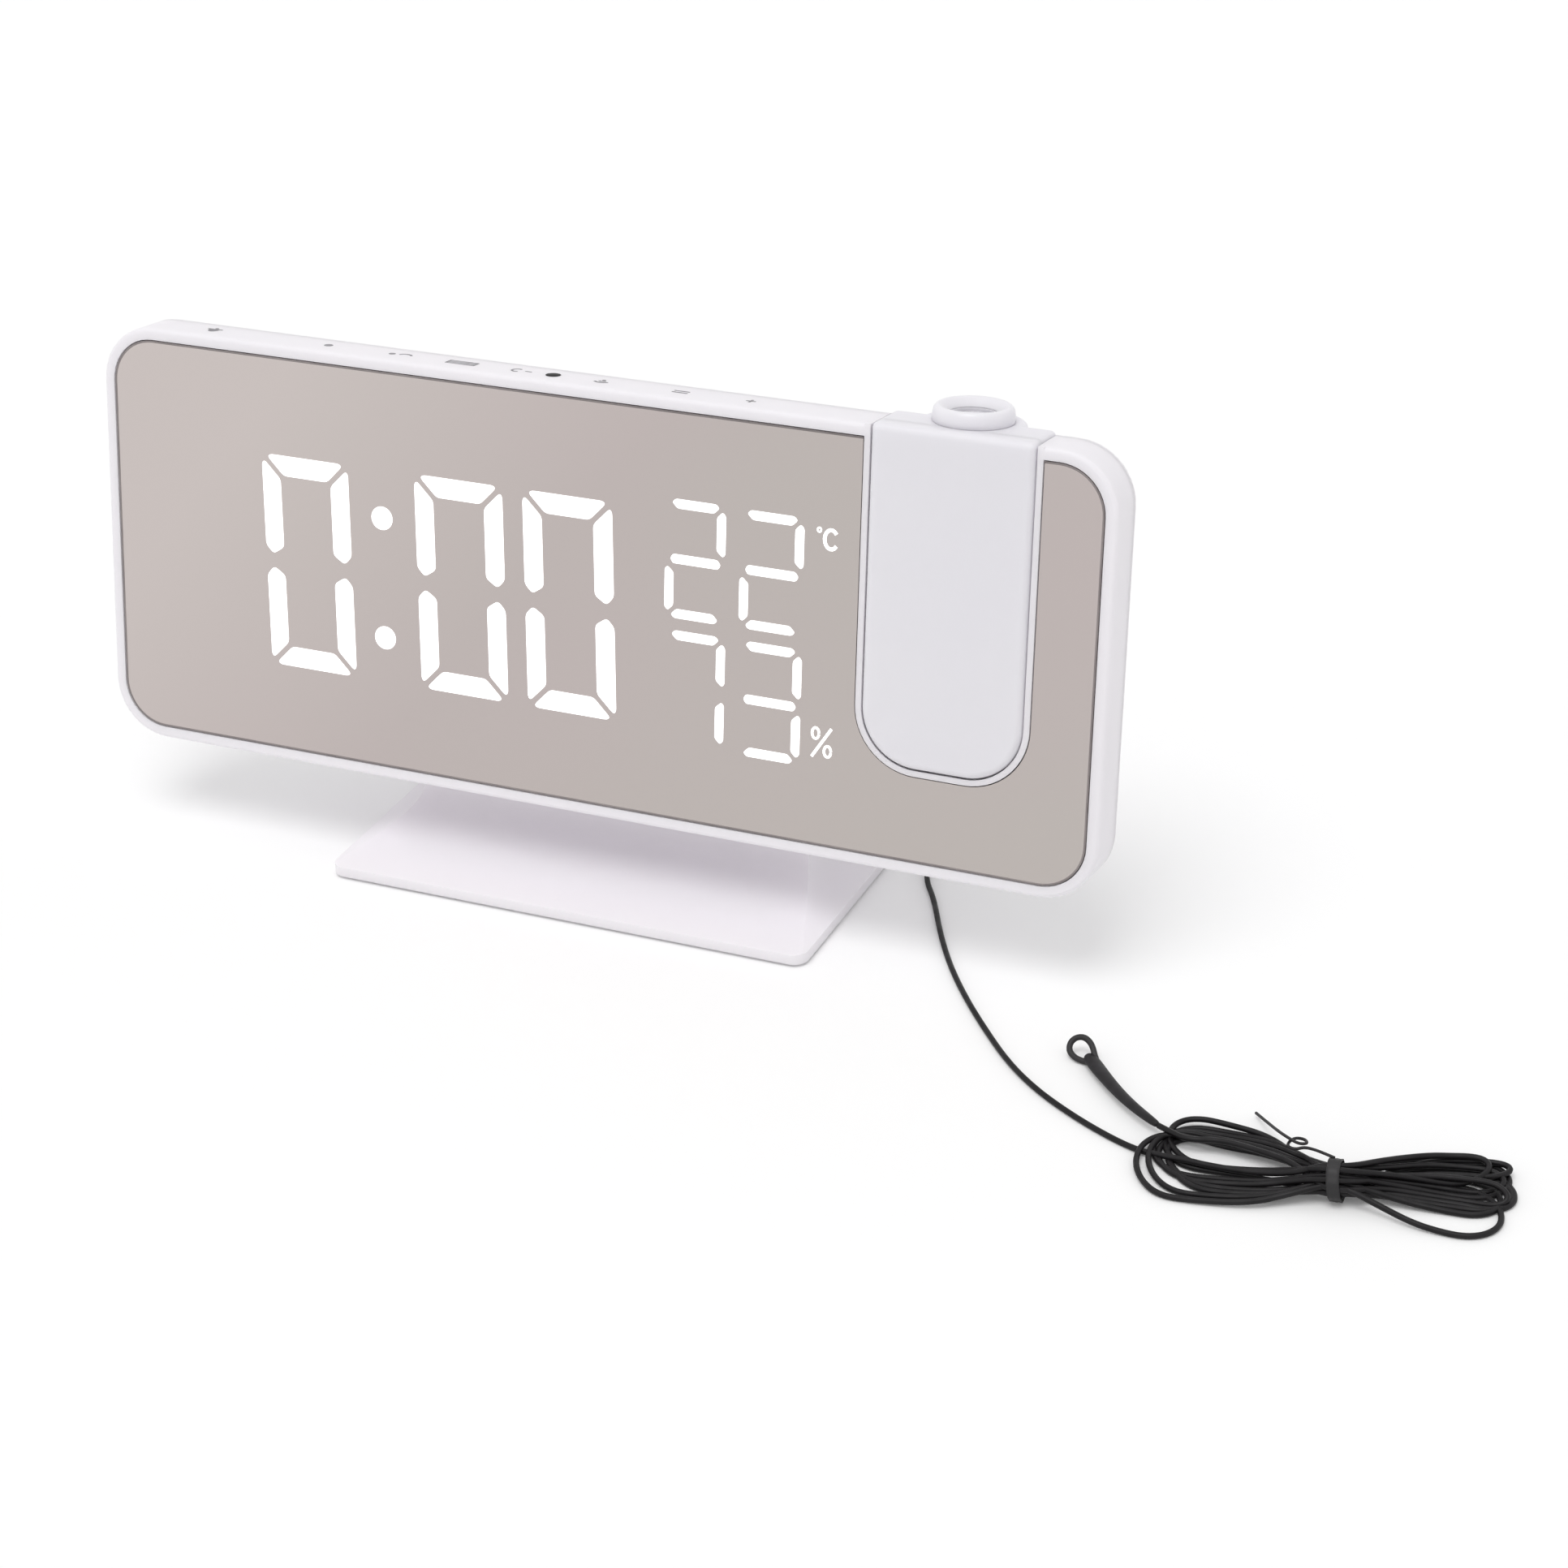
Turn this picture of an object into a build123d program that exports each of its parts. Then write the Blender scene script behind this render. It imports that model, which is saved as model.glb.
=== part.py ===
from build123d import *
from math import cos, radians, sin, sqrt, tan
import os

os.makedirs("parts", exist_ok=True)

# Projection alarm clock with a mirror face, a tilting projector arm and a wire antenna.
#
# Row frame: millimetres, +X to the right, +Y to the rear, +Z up, origin at the centre of the
# foot pad on the standing surface. The body is drawn upright in its own frame, with the centre
# of its front face at the origin, and leans back when it is placed.

# ---------------------------------------------------------------- driving dimensions
# Body
body_width = 186.0
body_height = 74.4
body_corner = 10.0
rim_depth = 10.4          # front face to the rear of the thin rim
frame_depth = 8.0         # front face to the parting line with the rear cover
bezel_width = 2.0
rim_edge = 0.8            # rounding of the front edge
cover_edge = 2.2          # rounding of the rear edge
lean = 9.5                # degrees the body leans back
body_lift = 16.3          # lower front edge of the body above the standing surface
body_setback = 9.2        # lower front edge of the body behind the front of the stand

# Mirror
mirror_inset = 0.15
mirror_thickness = 2.0
mirror_gap = 0.2
tape_thickness = 0.3
tape_width = 4.0
web_thickness = 1.6

# Slot and projector arm
arm_x = 65.3
arm_width = 27.7
arm_thickness = 10.4
arm_proud = 0.6           # arm face in front of the body face
arm_top_rise = 0.5        # arm top above the body top
arm_foot_height = 18.2    # lower end of the arm above the lower edge of the body
arm_corner = 9.6          # rounding of the lower corners, seen from the front
arm_top_corner = 1.0
arm_edge = 1.2            # rounding of the front and rear edges
arm_wall = 1.5
arm_gap = 0.2             # between the arm and the slot
arm_split = 2.6           # joint between the two shells, behind the body face
arm_boss_depth = 6.0      # where the shells' screw bosses meet
slot_rim = 1.0            # visible white rim round the slot
well_wall = 2.2           # slot wall behind the mirror
pivot_margin = 0.1        # pivot height over the lowest place where the arm can turn
window_corner = 1.0

# Arm hinge
pin_radius = 1.8
pin_boss_radius = 2.8
pin_boss_length = 2.4
pin_head_radius = 2.6
pin_head_length = 0.9
pin_engagement = 3.2      # length of the pin inside the arm
running_gap = 0.05
washer_thickness = 0.3

# Optics, along the upright lens axis
lens_axis_y = 8.6         # behind the body face
ridge_radius = 8.7
ridge_edge = 1.0
ridge_foot = 23.0         # lower end of the ridge above the arm's lower end
focus_radius = 6.7
focus_height = 2.5
focus_gap = 0.2
focus_edge = 0.8
focus_bore = 4.3
focus_skirt = 7.5         # skirt of the ring below the arm top
skirt_wall = 0.9
barrel_wall = 1.5
barrel_length = 16.0
cell_wall = 0.7
cell_length = 5.4
cell_recess = 1.5         # cell top below the ring top
lens_thickness = 2.2
lens_dome = 0.6
lens_drop = 0.5           # lens rim below the top of its cell
panel_thickness = 1.1
panel_side = 9.6
condenser_edge = 1.6      # straight part of the condenser lens
condenser_dome = 2.2
condenser_drop = 3.0      # dome below the LCD panel
tube_gap = 0.1
light_tube_wall = 1.6
led_height = 2.2
led_side = 3.5
board_thickness = 1.2

# Rear bulge
bulge_width = 108.0
bulge_height = 54.0
bulge_depth = 17.6        # behind the rim
bulge_x = -8.0
bulge_z = -3.0
bulge_corner = 8.0
bulge_edge = 4.0
cover_wall = 2.0
lip_depth = 2.0           # locating lip of the rear cover inside the frame
lip_wall = 1.2
lip_gap = 0.15

# Display
big_digit_width = 17.0
big_digit_height = 37.8
big_bar = 3.6
big_digit_z = -0.8
big_digit_x = (-73.4, -52.8, -22.7, -2.2)
small_digit_width = 11.0
small_bar = 1.9
small_digit_x = (20.7, 34.6)
upper_digit_height = 21.6
upper_digit_z = 9.9
lower_digit_height = 19.0
lower_digit_z = -11.4
bar_gap = 0.5
digit_slant = -1.9        # degrees, tops lean to the left
colon_x = -37.6
colon_z = (9.6, -11.6)
colon_radius = 2.1
unit_x = 44.4
unit_z = (17.2, -17.2)
unit_width = 3.8
unit_height = 5.0
block_side_margin = 2.6
unit_margin = 0.6         # block beyond the degree and percent signs
bar_tip = 0.3             # blunt middle of a digit's sides, as a share of the bar width
notch_play = 0.4          # round the hinge boss beside the display
block_height = 46.0
block_flange = 1.6
block_flange_depth = 2.4
block_gap = 0.15
segment_depth = 1.2
led_chip = (1.6, 0.6, 0.8)

# Buttons on the rear edge
button_side = 19.8        # first button from the left end of the body
button_steps = (0, 22.9, 37.2, 48.7, 59.7, 74.8, 89.2, 101.7)   # of each button from the first
button_names = (
    "alarm_button", "mode_button", "set_button", "minus_button",
    "plus_button", "snooze_button", "radio_button", "projector_button",
)
button_z = 30.2
button_width = 8.4
button_height = 4.6
button_corner = 1.6
button_reach = 1.1        # button face behind the rim
button_flange = 0.7
button_flange_depth = 0.8
button_gap = 0.12
button_travel = 0.5
button_stem_radius = 1.1
switch_side = 3.2
switch_depth = 0.6
plunger_radius = 0.9
plunger_depth = 0.35
plunger_gap = 0.1         # left when the button is fully pressed
button_board_height = 4.6
button_board_margin = 3.5
board_corner = 0.6
switch_corner = 0.4
button_edge = 0.5

# Electronics in the bulge
main_board_depth = 12.0   # front of the board behind the body face
main_board_thickness = 1.6
main_board_margin = 3.0
board_post_radius = 2.4
board_post_inset = 5.0
speaker_radius = 14.0
speaker_x = -42.0
speaker_z = -1.0
speaker_depth = 6.0
speaker_rim = 2.2
speaker_seat_depth = 4.0
magnet_radius = 7.0
magnet_depth = 2.0
cone_radius = 12.0
cone_floor_radius = 3.0
cone_thickness = 0.5
cone_clear = 0.6          # cone edge below the basket's face
cone_height = 2.4
grille_hole = 0.9
grille_rings = 3
grille_pitch = 3.3
cell_radius = 10.0
cell_thickness = 3.2
battery_x = 26.0
battery_z = 0.0
battery_wall = 1.6
battery_gap = 0.3
contact_thickness = 0.3
contact_width = 4.0
contact_length = 16.0
door_radius = 11.7
door_thickness = 1.4
door_lug = 0.9
door_lug_angle = 24.0
door_lug_depth = 0.7
door_turn = 50.0
door_gap = 0.1
coin_slot_width = 1.6
coin_slot_length = 13.0
coin_slot_depth = 0.7
dc_x = -10.0
dc_z = -15.0
dc_body = 9.0
dc_bore = 2.9
dc_pin = 1.0
dc_bore_length = 9.5
dc_collar_gap = 0.1
socket_reach = 1.7        # socket faces beyond the inside of the rear wall
pin_recess = 1.2
usb_x = -10.0
usb_z = 9.0
usb_width = 14.0
usb_height = 6.6
usb_skin = 0.4
usb_tongue = 1.8
usb_tongue_side_gap = 1.0
usb_floor = 2.4
socket_gap = 0.15
dc_hole_margin = 0.6
usb_corner = 0.8
notch_extra_angle = 4.0   # entry notches wider than the lugs

# Parts on the main board: x, z, width, height, depth
board_chips = (
    (6.0, -4.0, 9.0, 9.0, 1.6),
    (-24.0, -14.0, 7.0, 7.0, 1.4),
    (8.0, 12.0, 5.0, 5.0, 3.0),
    (-26.0, 12.0, 6.0, 2.6, 2.0),
    (18.0, -14.0, 6.0, 5.0, 1.4),
)
capacitor_places = ((-32.0, 15.0), (16.0, 14.0))
capacitor_radius = 2.2
capacitor_length = 5.5
header_x = -50.0
header_z = 8.0
header_width = 14.0
header_height = 3.0

# Sensors
light_hole_x = -7.4
light_hole_y = 4.4
light_hole_radius = 0.9
light_sensor_radius = 1.5
light_sensor_length = 2.6
climate_x = -70.0
climate_z = -30.2
climate_width = 9.0
climate_height = 4.6
climate_chip = 2.6
climate_chip_depth = 0.8
vent_length = 6.0
vent_width = 1.0
vent_pitch = 2.2
vent_count = 3
vent_flat = 0.02          # keeps a short straight end on each vent

# Screws
screw_radius = 1.25
screw_head_radius = 2.2
screw_head_length = 1.2
screw_play = 0.02
screw_head_play = 0.15
screw_boss_radius = 2.7
screw_tip_gap = 0.3
cross_length = 2.4
cross_width = 0.6
cross_depth = 0.6
case_screw_side = 7.0     # corner screws inside the body's sides
case_screw_end = 8.4      # and below its top, above its bottom
middle_screw_end = 7.2    # screws beside and below the arm
middle_screw_gap = 9.75   # between the slot and the screw beside it
arm_screw_x = 7.5
arm_screw_rise = 6.5      # above the arm's lower end
stand_screw_x = 14.0
stand_screw_length = 8.0
base_screw_x = 29.5
base_screw_length = 7.0
board_screw_length = 5.0

# Stand
stand_width = 90.4
stand_depth = 60.0
stand_corner = 2.5
stand_wall = 1.8
foot_reveal = 0.5         # pad stands this far out of the base plate
lip_height = 1.8
neck_width = 74.0
neck_depth = 11.0
neck_setback = 27.5       # middle of the neck behind the front of the stand
flare_height = 12.0       # where the concave sides become upright
flare_reach = 0.77        # share of the flare's length that stays low
flare_rise = 2.3          # over the lip at that point
flare_turn = 3.3          # over the lip where the flare turns up
neck_reach = 26.0         # before it is cut to the body
neck_wall = 2.0           # under the body
cavity_foot = 10.0        # cavity's foot outside the neck
plate_inset = 9.0
plate_thickness = 2.0
plate_corner = 3.0
plate_gap = 0.15
pad_width = 50.0
pad_depth = 36.0
pad_corner = 4.0
pad_thickness = 1.0
ballast_width = 46.0
ballast_depth = 12.0
ballast_thickness = 1.6

# Antenna
wire_diameter = 0.95
grommet_y = 19.0          # in the body frame
grommet_z = -19.5
grommet_radius = 1.9
grommet_flange = 2.5
grommet_flange_length = 0.8
grommet_nose = 2.8
grommet_nose_radius = 1.1
# Route of the free lead in the row frame: past the grommet, down beside the stand, along the
# surface and into the hank
lead_bend_x = 53.6
lead_drop = (
    (57.2, 3.8, 24.0),
    (56.8, 8.6, 15.8),
    (53.0, 12.6, 6.4),
    (51.6, 9.6, 1.9),
)
lead_floor = (
    (52.6, 4.2),
    (56.6, -1.9),
    (61.9, -11.9),
    (67.4, -21.0),
    (73.9, -29.8),
    (80.6, -38.2),
    (87.2, -45.6),
    (93.7, -51.3),
    (100.8, -55.9),
    (108.4, -59.6),
    (114.6, -61.4),
)
lead_end = (120.4, -62.3, 1.7)
bend_share = 0.45         # of the shorter run that a bend may use
# Outer shape of the tied hank, at distances along it from the tie: half width, height, side
# shift and lift of each section
hank_tie = (145.3, -61.8)
hank_angle = 7.0
hank_sections = (
    (-29.8, 2.4, 2.0, -1.0, 0.0),
    (-27.0, 7.2, 3.0, 2.2, 0.0),
    (-22.0, 10.6, 3.6, 3.4, 0.0),
    (-15.0, 9.8, 4.2, 2.8, 0.0),
    (-8.0, 6.4, 5.0, 1.7, 0.0),
    (-1.6, 2.9, 5.8, 0.0, 0.4),
    (1.6, 2.9, 5.8, 0.0, 0.4),
    (8.0, 6.6, 5.0, 3.0, 0.0),
    (14.0, 10.2, 4.2, 3.6, 0.0),
    (20.0, 10.3, 3.6, 3.2, 0.0),
    (24.0, 6.8, 2.8, 3.2, 0.0),
    (25.9, 2.2, 2.0, 3.1, 0.0),
)
tie_width = 2.0
tie_thickness = 0.35
# Twisted ends of the tie, from its top to the tip on the surface
tie_tail = (
    (144.9, -61.0, 6.2), (142.6, -60.0, 6.3), (140.3, -58.2, 5.7), (137.4, -56.0, 4.6), (134.2, -53.0, 3.2),
    (131.2, -49.6, 1.9), (128.4, -46.4, 0.9),
)
tie_tail_radius = 0.3
# Tail of the wire from the hank to the eyelet's sleeve
tail_route = ((119.7, -58.7, 2.1), (117.3, -57.0, 2.0), (114.6, -55.4, 1.9), (112.2, -54.0, 1.9))
eyelet_centre = (97.1, -38.9, 1.75)
eyelet_outer = 2.3
eyelet_hole = 1.45
eyelet_thickness = 0.9
eyelet_tilt = 36.0        # degrees the ring leans on its lower edge
sleeve_start_radius = 1.25
sleeve_end_radius = 0.7

# ---------------------------------------------------------------- derived places
half_width = body_width / 2
half_height = body_height / 2
lean_angle = radians(lean)
body_y = -stand_depth / 2 + body_setback + half_height * sin(lean_angle)
body_z = body_lift + half_height * cos(lean_angle)
body_place = Location((0, body_y, body_z), (-lean, 0, 0))
neck_y = neck_setback - stand_depth / 2

web_front = mirror_inset + mirror_thickness + tape_thickness
web_back = web_front + web_thickness
inner_width = body_width - 2 * bezel_width
inner_height = body_height - 2 * bezel_width
inner_corner = body_corner - bezel_width
mid_depth = rim_depth / 2

arm_foot = -half_height + arm_foot_height
arm_top = half_height + arm_top_rise
arm_front = -arm_proud
arm_back = arm_thickness - arm_proud
slot_half = arm_width / 2 + arm_gap
slot_floor = arm_foot - arm_gap
slot_corner = arm_corner + arm_gap
pivot_y = mid_depth
pivot_z = arm_foot + arm_corner + (pivot_y - arm_front) + pivot_margin
ridge_foot_z = arm_foot + ridge_foot

bulge_back = rim_depth + bulge_depth
bulge_left = bulge_x - bulge_width / 2
bulge_right = bulge_x + bulge_width / 2
bulge_low = bulge_z - bulge_height / 2
bulge_inside = bulge_back - cover_wall

hole_radius = screw_radius + screw_play
boss_end = slot_half + well_wall + pin_boss_length
button_x = [button_side - half_width + step for step in button_steps]
corner_screw_x = half_width - case_screw_side
corner_screw_z = half_height - case_screw_end
middle_screw_z = half_height - middle_screw_end
case_screw_places = [
    (x, z) for x in (-corner_screw_x, corner_screw_x) for z in (-corner_screw_z, corner_screw_z)
]
case_screw_places += [(arm_x - slot_half - middle_screw_gap, middle_screw_z), (arm_x, -middle_screw_z)]


def at_depth(depth):
    """Plane parallel to the mirror, this far behind the body face; negative amounts run back."""
    return Plane.XZ.offset(-depth)


def at_height(height):
    """Level plane at this height, in the frame that the piece is drawn in."""
    return Plane.XY.offset(height)


def at_side(x):
    """Upright plane that looks along +X from this x."""
    return Plane.YZ.offset(x)


def save(piece, name, place=Location()):
    """Label a finished piece, put it in its place and write it."""
    piece.part.label = name
    piece.part.location = place
    export_step(piece.part, f"parts/{name}.step")


def body_sketch_plate(depth, thickness, width, height, corner, x=0.0, z=0.0, mode=Mode.ADD):
    """Rounded plate parallel to the mirror, added to the piece being built."""
    with BuildSketch(at_depth(depth)) as profile:
        with Locations((x, z)):
            RectangleRounded(width, height, corner)
    extrude(profile.sketch, amount=-thickness, mode=mode)


def body_disc(depth, thickness, radius, x, z, mode=Mode.ADD):
    """Round plate or hole along the body's depth."""
    with BuildSketch(at_depth(depth)) as profile:
        with Locations((x, z)):
            Circle(radius)
    extrude(profile.sketch, amount=-thickness, mode=mode)


def slot_prism(depth, thickness, grow, mode=Mode.ADD):
    """The arm's slot: straight sides, rounded lower corners, open at the top of the body."""
    low = slot_floor - grow
    with BuildSketch(at_depth(depth)) as profile:
        with Locations((arm_x, (half_height + low) / 2)):
            Rectangle(2 * (slot_half + grow), half_height - low)
        fillet(vertices().group_by(Axis.Y)[0], slot_corner + grow)
    extrude(profile.sketch, amount=-thickness, mode=mode)


def slot_drop(x_offset):
    """Depth of the slot's outline below the pivot, at a distance from the slot's centre line."""
    floor_drop = pivot_z - slot_floor
    beyond = max(0.0, abs(x_offset) - (slot_half - slot_corner))
    return floor_drop - slot_corner + sqrt(max(0.0, slot_corner**2 - beyond**2))


def swing_radius(x_offset):
    """Reach of the slot's outline from the pivot, so that the arm's foot can turn inside it."""
    return sqrt(slot_drop(x_offset) ** 2 + mid_depth**2)


pocket_angles = (0, 25, 50, 72, 90)
pocket_offsets = [slot_half - slot_corner + slot_corner * sin(radians(angle)) for angle in pocket_angles]
pocket_edge = [(offset, swing_radius(offset)) for offset in pocket_offsets]
pivot_plane = Plane(origin=(arm_x, pivot_y, pivot_z), x_dir=(1, 0, 0), z_dir=(0, -1, 0))
pivot_axis = Axis((arm_x, pivot_y, pivot_z), (1, 0, 0))


def swing_pocket():
    """Room for the lower end of the arm to turn, cut from the piece being built."""
    with BuildSketch(pivot_plane) as profile:
        with BuildLine():
            right = Spline(pocket_edge)
            left = Spline([(-offset, radius) for offset, radius in pocket_edge])
            Line(left @ 0, right @ 0)
            Polyline(right @ 1, (slot_half, 0), (-slot_half, 0), left @ 1)
        make_face()
    revolve(profile.sketch, axis=pivot_axis, mode=Mode.SUBTRACT)


def bore_along_x(x, length, radius, y, z, mode=Mode.ADD):
    """Round pin, boss or hole along X from x over a length."""
    with BuildSketch(at_side(x)) as profile:
        with Locations((y, z)):
            Circle(radius)
    extrude(profile.sketch, amount=length, mode=mode)


# ---------------------------------------------------------------- front frame
display_left = big_digit_x[0] - big_digit_width / 2 - block_side_margin
display_right = unit_x + unit_width / 2 + unit_margin
display_width = display_right - display_left
display_x = (display_left + display_right) / 2
window_width = display_width + 2 * block_gap
window_height = block_height + 2 * block_gap
button_board_width = button_x[-1] - button_x[0] + button_width + 2 * button_board_margin
button_board_x = (button_x[0] + button_x[-1]) / 2

with BuildPart() as front_frame:
    body_sketch_plate(0, frame_depth, body_width, body_height, body_corner)
    fillet(faces().sort_by(Axis.Y)[0].edges(), rim_edge)
    body_sketch_plate(0, web_front, inner_width, inner_height, inner_corner, mode=Mode.SUBTRACT)
    body_sketch_plate(
        web_back, frame_depth - web_back, inner_width, inner_height, inner_corner, mode=Mode.SUBTRACT
    )
    # window for the display block
    body_sketch_plate(
        web_front, web_thickness, window_width, window_height, window_corner, x=display_x, mode=Mode.SUBTRACT
    )
    slot_prism(0, frame_depth, slot_rim)
    slot_prism(web_front, frame_depth - web_front, well_wall)
    # bosses for the arm's pins, either side of the slot
    bore_along_x(arm_x + slot_half, well_wall + pin_boss_length, pin_boss_radius, pivot_y, pivot_z)
    bore_along_x(arm_x - boss_end, well_wall + pin_boss_length, pin_boss_radius, pivot_y, pivot_z)
    # room in the web for the right pin's washer and head
    bore_along_x(
        arm_x + boss_end, washer_thickness + pin_head_length + notch_play, pin_head_radius + notch_play,
        pivot_y, pivot_z, mode=Mode.SUBTRACT,
    )
    # bosses for the case screws
    for boss_x, boss_z in case_screw_places:
        body_disc(web_back, frame_depth - web_back, screw_boss_radius, boss_x, boss_z)
    slot_prism(0, frame_depth, 0, mode=Mode.SUBTRACT)
    swing_pocket()
    bore_along_x(
        arm_x - boss_end, 2 * boss_end, pin_radius + running_gap, pivot_y, pivot_z, mode=Mode.SUBTRACT
    )
    for boss_x, boss_z in case_screw_places:
        body_disc(web_back, frame_depth - web_back, hole_radius, boss_x, boss_z, mode=Mode.SUBTRACT)
    # light hole in the top edge, and the sensor's seat below it
    with BuildSketch(at_height(half_height)):
        with Locations((light_hole_x, light_hole_y)):
            Circle(light_hole_radius)
    extrude(amount=-bezel_width, mode=Mode.SUBTRACT)
    with BuildSketch(at_height(half_height - bezel_width)):
        with Locations((light_hole_x, light_hole_y)):
            Circle(light_sensor_radius + block_gap)
    extrude(amount=-light_sensor_length - block_gap, mode=Mode.SUBTRACT)
save(front_frame, "front_frame", body_place)

# ---------------------------------------------------------------- mirror panel and its tape
mirror_width = inner_width - 2 * mirror_gap
mirror_height = inner_height - 2 * mirror_gap
mirror_corner = inner_corner - mirror_gap

with BuildPart() as mirror_panel:
    body_sketch_plate(mirror_inset, mirror_thickness, mirror_width, mirror_height, mirror_corner)
    slot_prism(mirror_inset, mirror_thickness, slot_rim + mirror_gap, mode=Mode.SUBTRACT)
save(mirror_panel, "mirror_panel", body_place)

with BuildPart() as mirror_tape:
    tape_front = mirror_inset + mirror_thickness
    body_sketch_plate(tape_front, tape_thickness, mirror_width, mirror_height, mirror_corner)
    body_sketch_plate(
        tape_front, tape_thickness, mirror_width - 2 * tape_width, mirror_height - 2 * tape_width,
        mirror_corner - tape_width, mode=Mode.SUBTRACT,
    )
    slot_prism(tape_front, tape_thickness, slot_rim + mirror_gap, mode=Mode.SUBTRACT)
save(mirror_tape, "mirror_tape", body_place)

# ---------------------------------------------------------------- display
def slanted(x, z, centre_x, centre_z):
    """A digit's own point, leant and put in its place on the face."""
    return (centre_x + x + z * tan(radians(digit_slant)), centre_z + z)


def digit_bars(centre_x, centre_z, width, height, bar):
    """The seven light bars of one digit: top, upper and lower sides, middle and bottom."""
    half_w, half_h = width / 2, height / 2
    mitre = bar_gap / sqrt(2)
    tip = bar_tip * bar
    level = [
        (-half_w + mitre, half_h), (half_w - mitre, half_h),
        (half_w - mitre - bar, half_h - bar), (-half_w + mitre + bar, half_h - bar),
    ]
    side = [
        (-half_w, half_h - mitre), (-half_w + bar, half_h - mitre - bar),
        (-half_w + bar, tip + bar / 2), (-half_w + bar / 2, tip), (-half_w, tip + bar / 2),
    ]
    middle = [
        (-half_w + bar / 2 + mitre, 0), (-half_w + bar + mitre, bar / 2), (half_w - bar - mitre, bar / 2),
        (half_w - bar / 2 - mitre, 0), (half_w - bar - mitre, -bar / 2), (-half_w + bar + mitre, -bar / 2),
    ]
    bars = [middle]
    for up in (1, -1):
        bars.append([(x, up * z) for x, z in level])
        for across in (1, -1):
            bars.append([(across * x, up * z) for x, z in side])
    return [[slanted(x, z, centre_x, centre_z) for x, z in outline] for outline in bars]


all_bars = []
for digit_x in big_digit_x:
    all_bars += digit_bars(digit_x, big_digit_z, big_digit_width, big_digit_height, big_bar)
for digit_x in small_digit_x:
    all_bars += digit_bars(digit_x, upper_digit_z, small_digit_width, upper_digit_height, small_bar)
    all_bars += digit_bars(digit_x, lower_digit_z, small_digit_width, lower_digit_height, small_bar)

with BuildSketch(at_depth(web_front)) as light_outlines:
    for outline in all_bars:
        with BuildLine():
            Polyline(*outline, close=True)
        make_face()
    with Locations(*[slanted(0, z, colon_x, 0) for z in colon_z]):
        Circle(colon_radius)
    with Locations(*[(unit_x, z) for z in unit_z]):
        Rectangle(unit_width, unit_height)

block_back = web_back + block_flange_depth
notch_left = arm_x - boss_end - washer_thickness - pin_head_length - notch_play


def boss_notch(depth, thickness):
    """Room beside the display for the end of the arm's hinge, cut from the piece being built."""
    with BuildSketch(at_depth(depth)) as profile:
        with Locations(((notch_left + arm_x) / 2, pivot_z)):
            Rectangle(arm_x - notch_left, 2 * (pin_boss_radius + notch_play))
    extrude(profile.sketch, amount=-thickness, mode=Mode.SUBTRACT)


with BuildPart() as display_block:
    body_sketch_plate(web_front, web_thickness, display_width, block_height, window_corner, x=display_x)
    body_sketch_plate(
        web_back, block_flange_depth, display_width, block_height + 2 * block_flange, window_corner,
        x=display_x,
    )
    extrude(light_outlines.sketch, amount=-(block_back - web_front), mode=Mode.SUBTRACT)
    boss_notch(web_front, block_back - web_front)
save(display_block, "display_block", body_place)

with BuildPart() as display_segments:
    extrude(light_outlines.sketch, amount=-segment_depth)
save(display_segments, "display_segments", body_place)

with BuildPart() as display_board:
    body_sketch_plate(
        block_back, board_thickness, display_width, block_height + 2 * block_flange, window_corner,
        x=display_x,
    )
    boss_notch(block_back, board_thickness)
save(display_board, "display_board", body_place)

chip_width, chip_depth, chip_height = led_chip
with BuildPart() as display_leds:
    for face in light_outlines.sketch.faces():
        spot = face.center()
        with Locations((spot.X, block_back - chip_depth / 2, spot.Z)):
            Box(chip_width, chip_depth, chip_height)
save(display_leds, "display_leds", body_place)

# ---------------------------------------------------------------- buttons, their switches and board
button_board_back = web_back + board_thickness
plunger_top = button_board_back + switch_depth + plunger_depth
stem_front = plunger_top + plunger_gap + button_travel
flange_front = frame_depth - button_gap - button_flange_depth

with BuildPart() as button_board:
    body_sketch_plate(
        web_back, board_thickness, button_board_width, button_board_height, board_corner,
        x=button_board_x, z=button_z,
    )
save(button_board, "button_board", body_place)

with BuildPart() as button_switches:
    for x in button_x:
        body_sketch_plate(
            button_board_back, switch_depth, switch_side, switch_side, switch_corner, x=x, z=button_z
        )
        body_disc(button_board_back + switch_depth, plunger_depth, plunger_radius, x, button_z)
save(button_switches, "button_switches", body_place)

for name, x in zip(button_names, button_x):
    with BuildPart() as push_button:
        body_sketch_plate(
            flange_front, rim_depth + button_reach - flange_front, button_width, button_height,
            button_corner, x=x, z=button_z,
        )
        fillet(faces().sort_by(Axis.Y)[-1].edges(), button_edge)
        body_sketch_plate(
            flange_front, button_flange_depth, button_width + 2 * button_flange,
            button_height + 2 * button_flange, button_corner, x=x, z=button_z,
        )
        body_disc(stem_front, flange_front - stem_front, button_stem_radius, x, button_z)
    save(push_button, name, body_place)

# ---------------------------------------------------------------- rear cover
board_left = bulge_left + cover_wall + main_board_margin
board_right = bulge_right - cover_wall - main_board_margin
board_low = bulge_low + cover_wall + main_board_margin
board_high = bulge_low + bulge_height - cover_wall - main_board_margin
board_back = main_board_depth + main_board_thickness
post_places = [
    (x, z)
    for x in (board_left + board_post_inset, board_right - board_post_inset)
    for z in (board_low + board_post_inset, board_high - board_post_inset)
]

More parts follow.
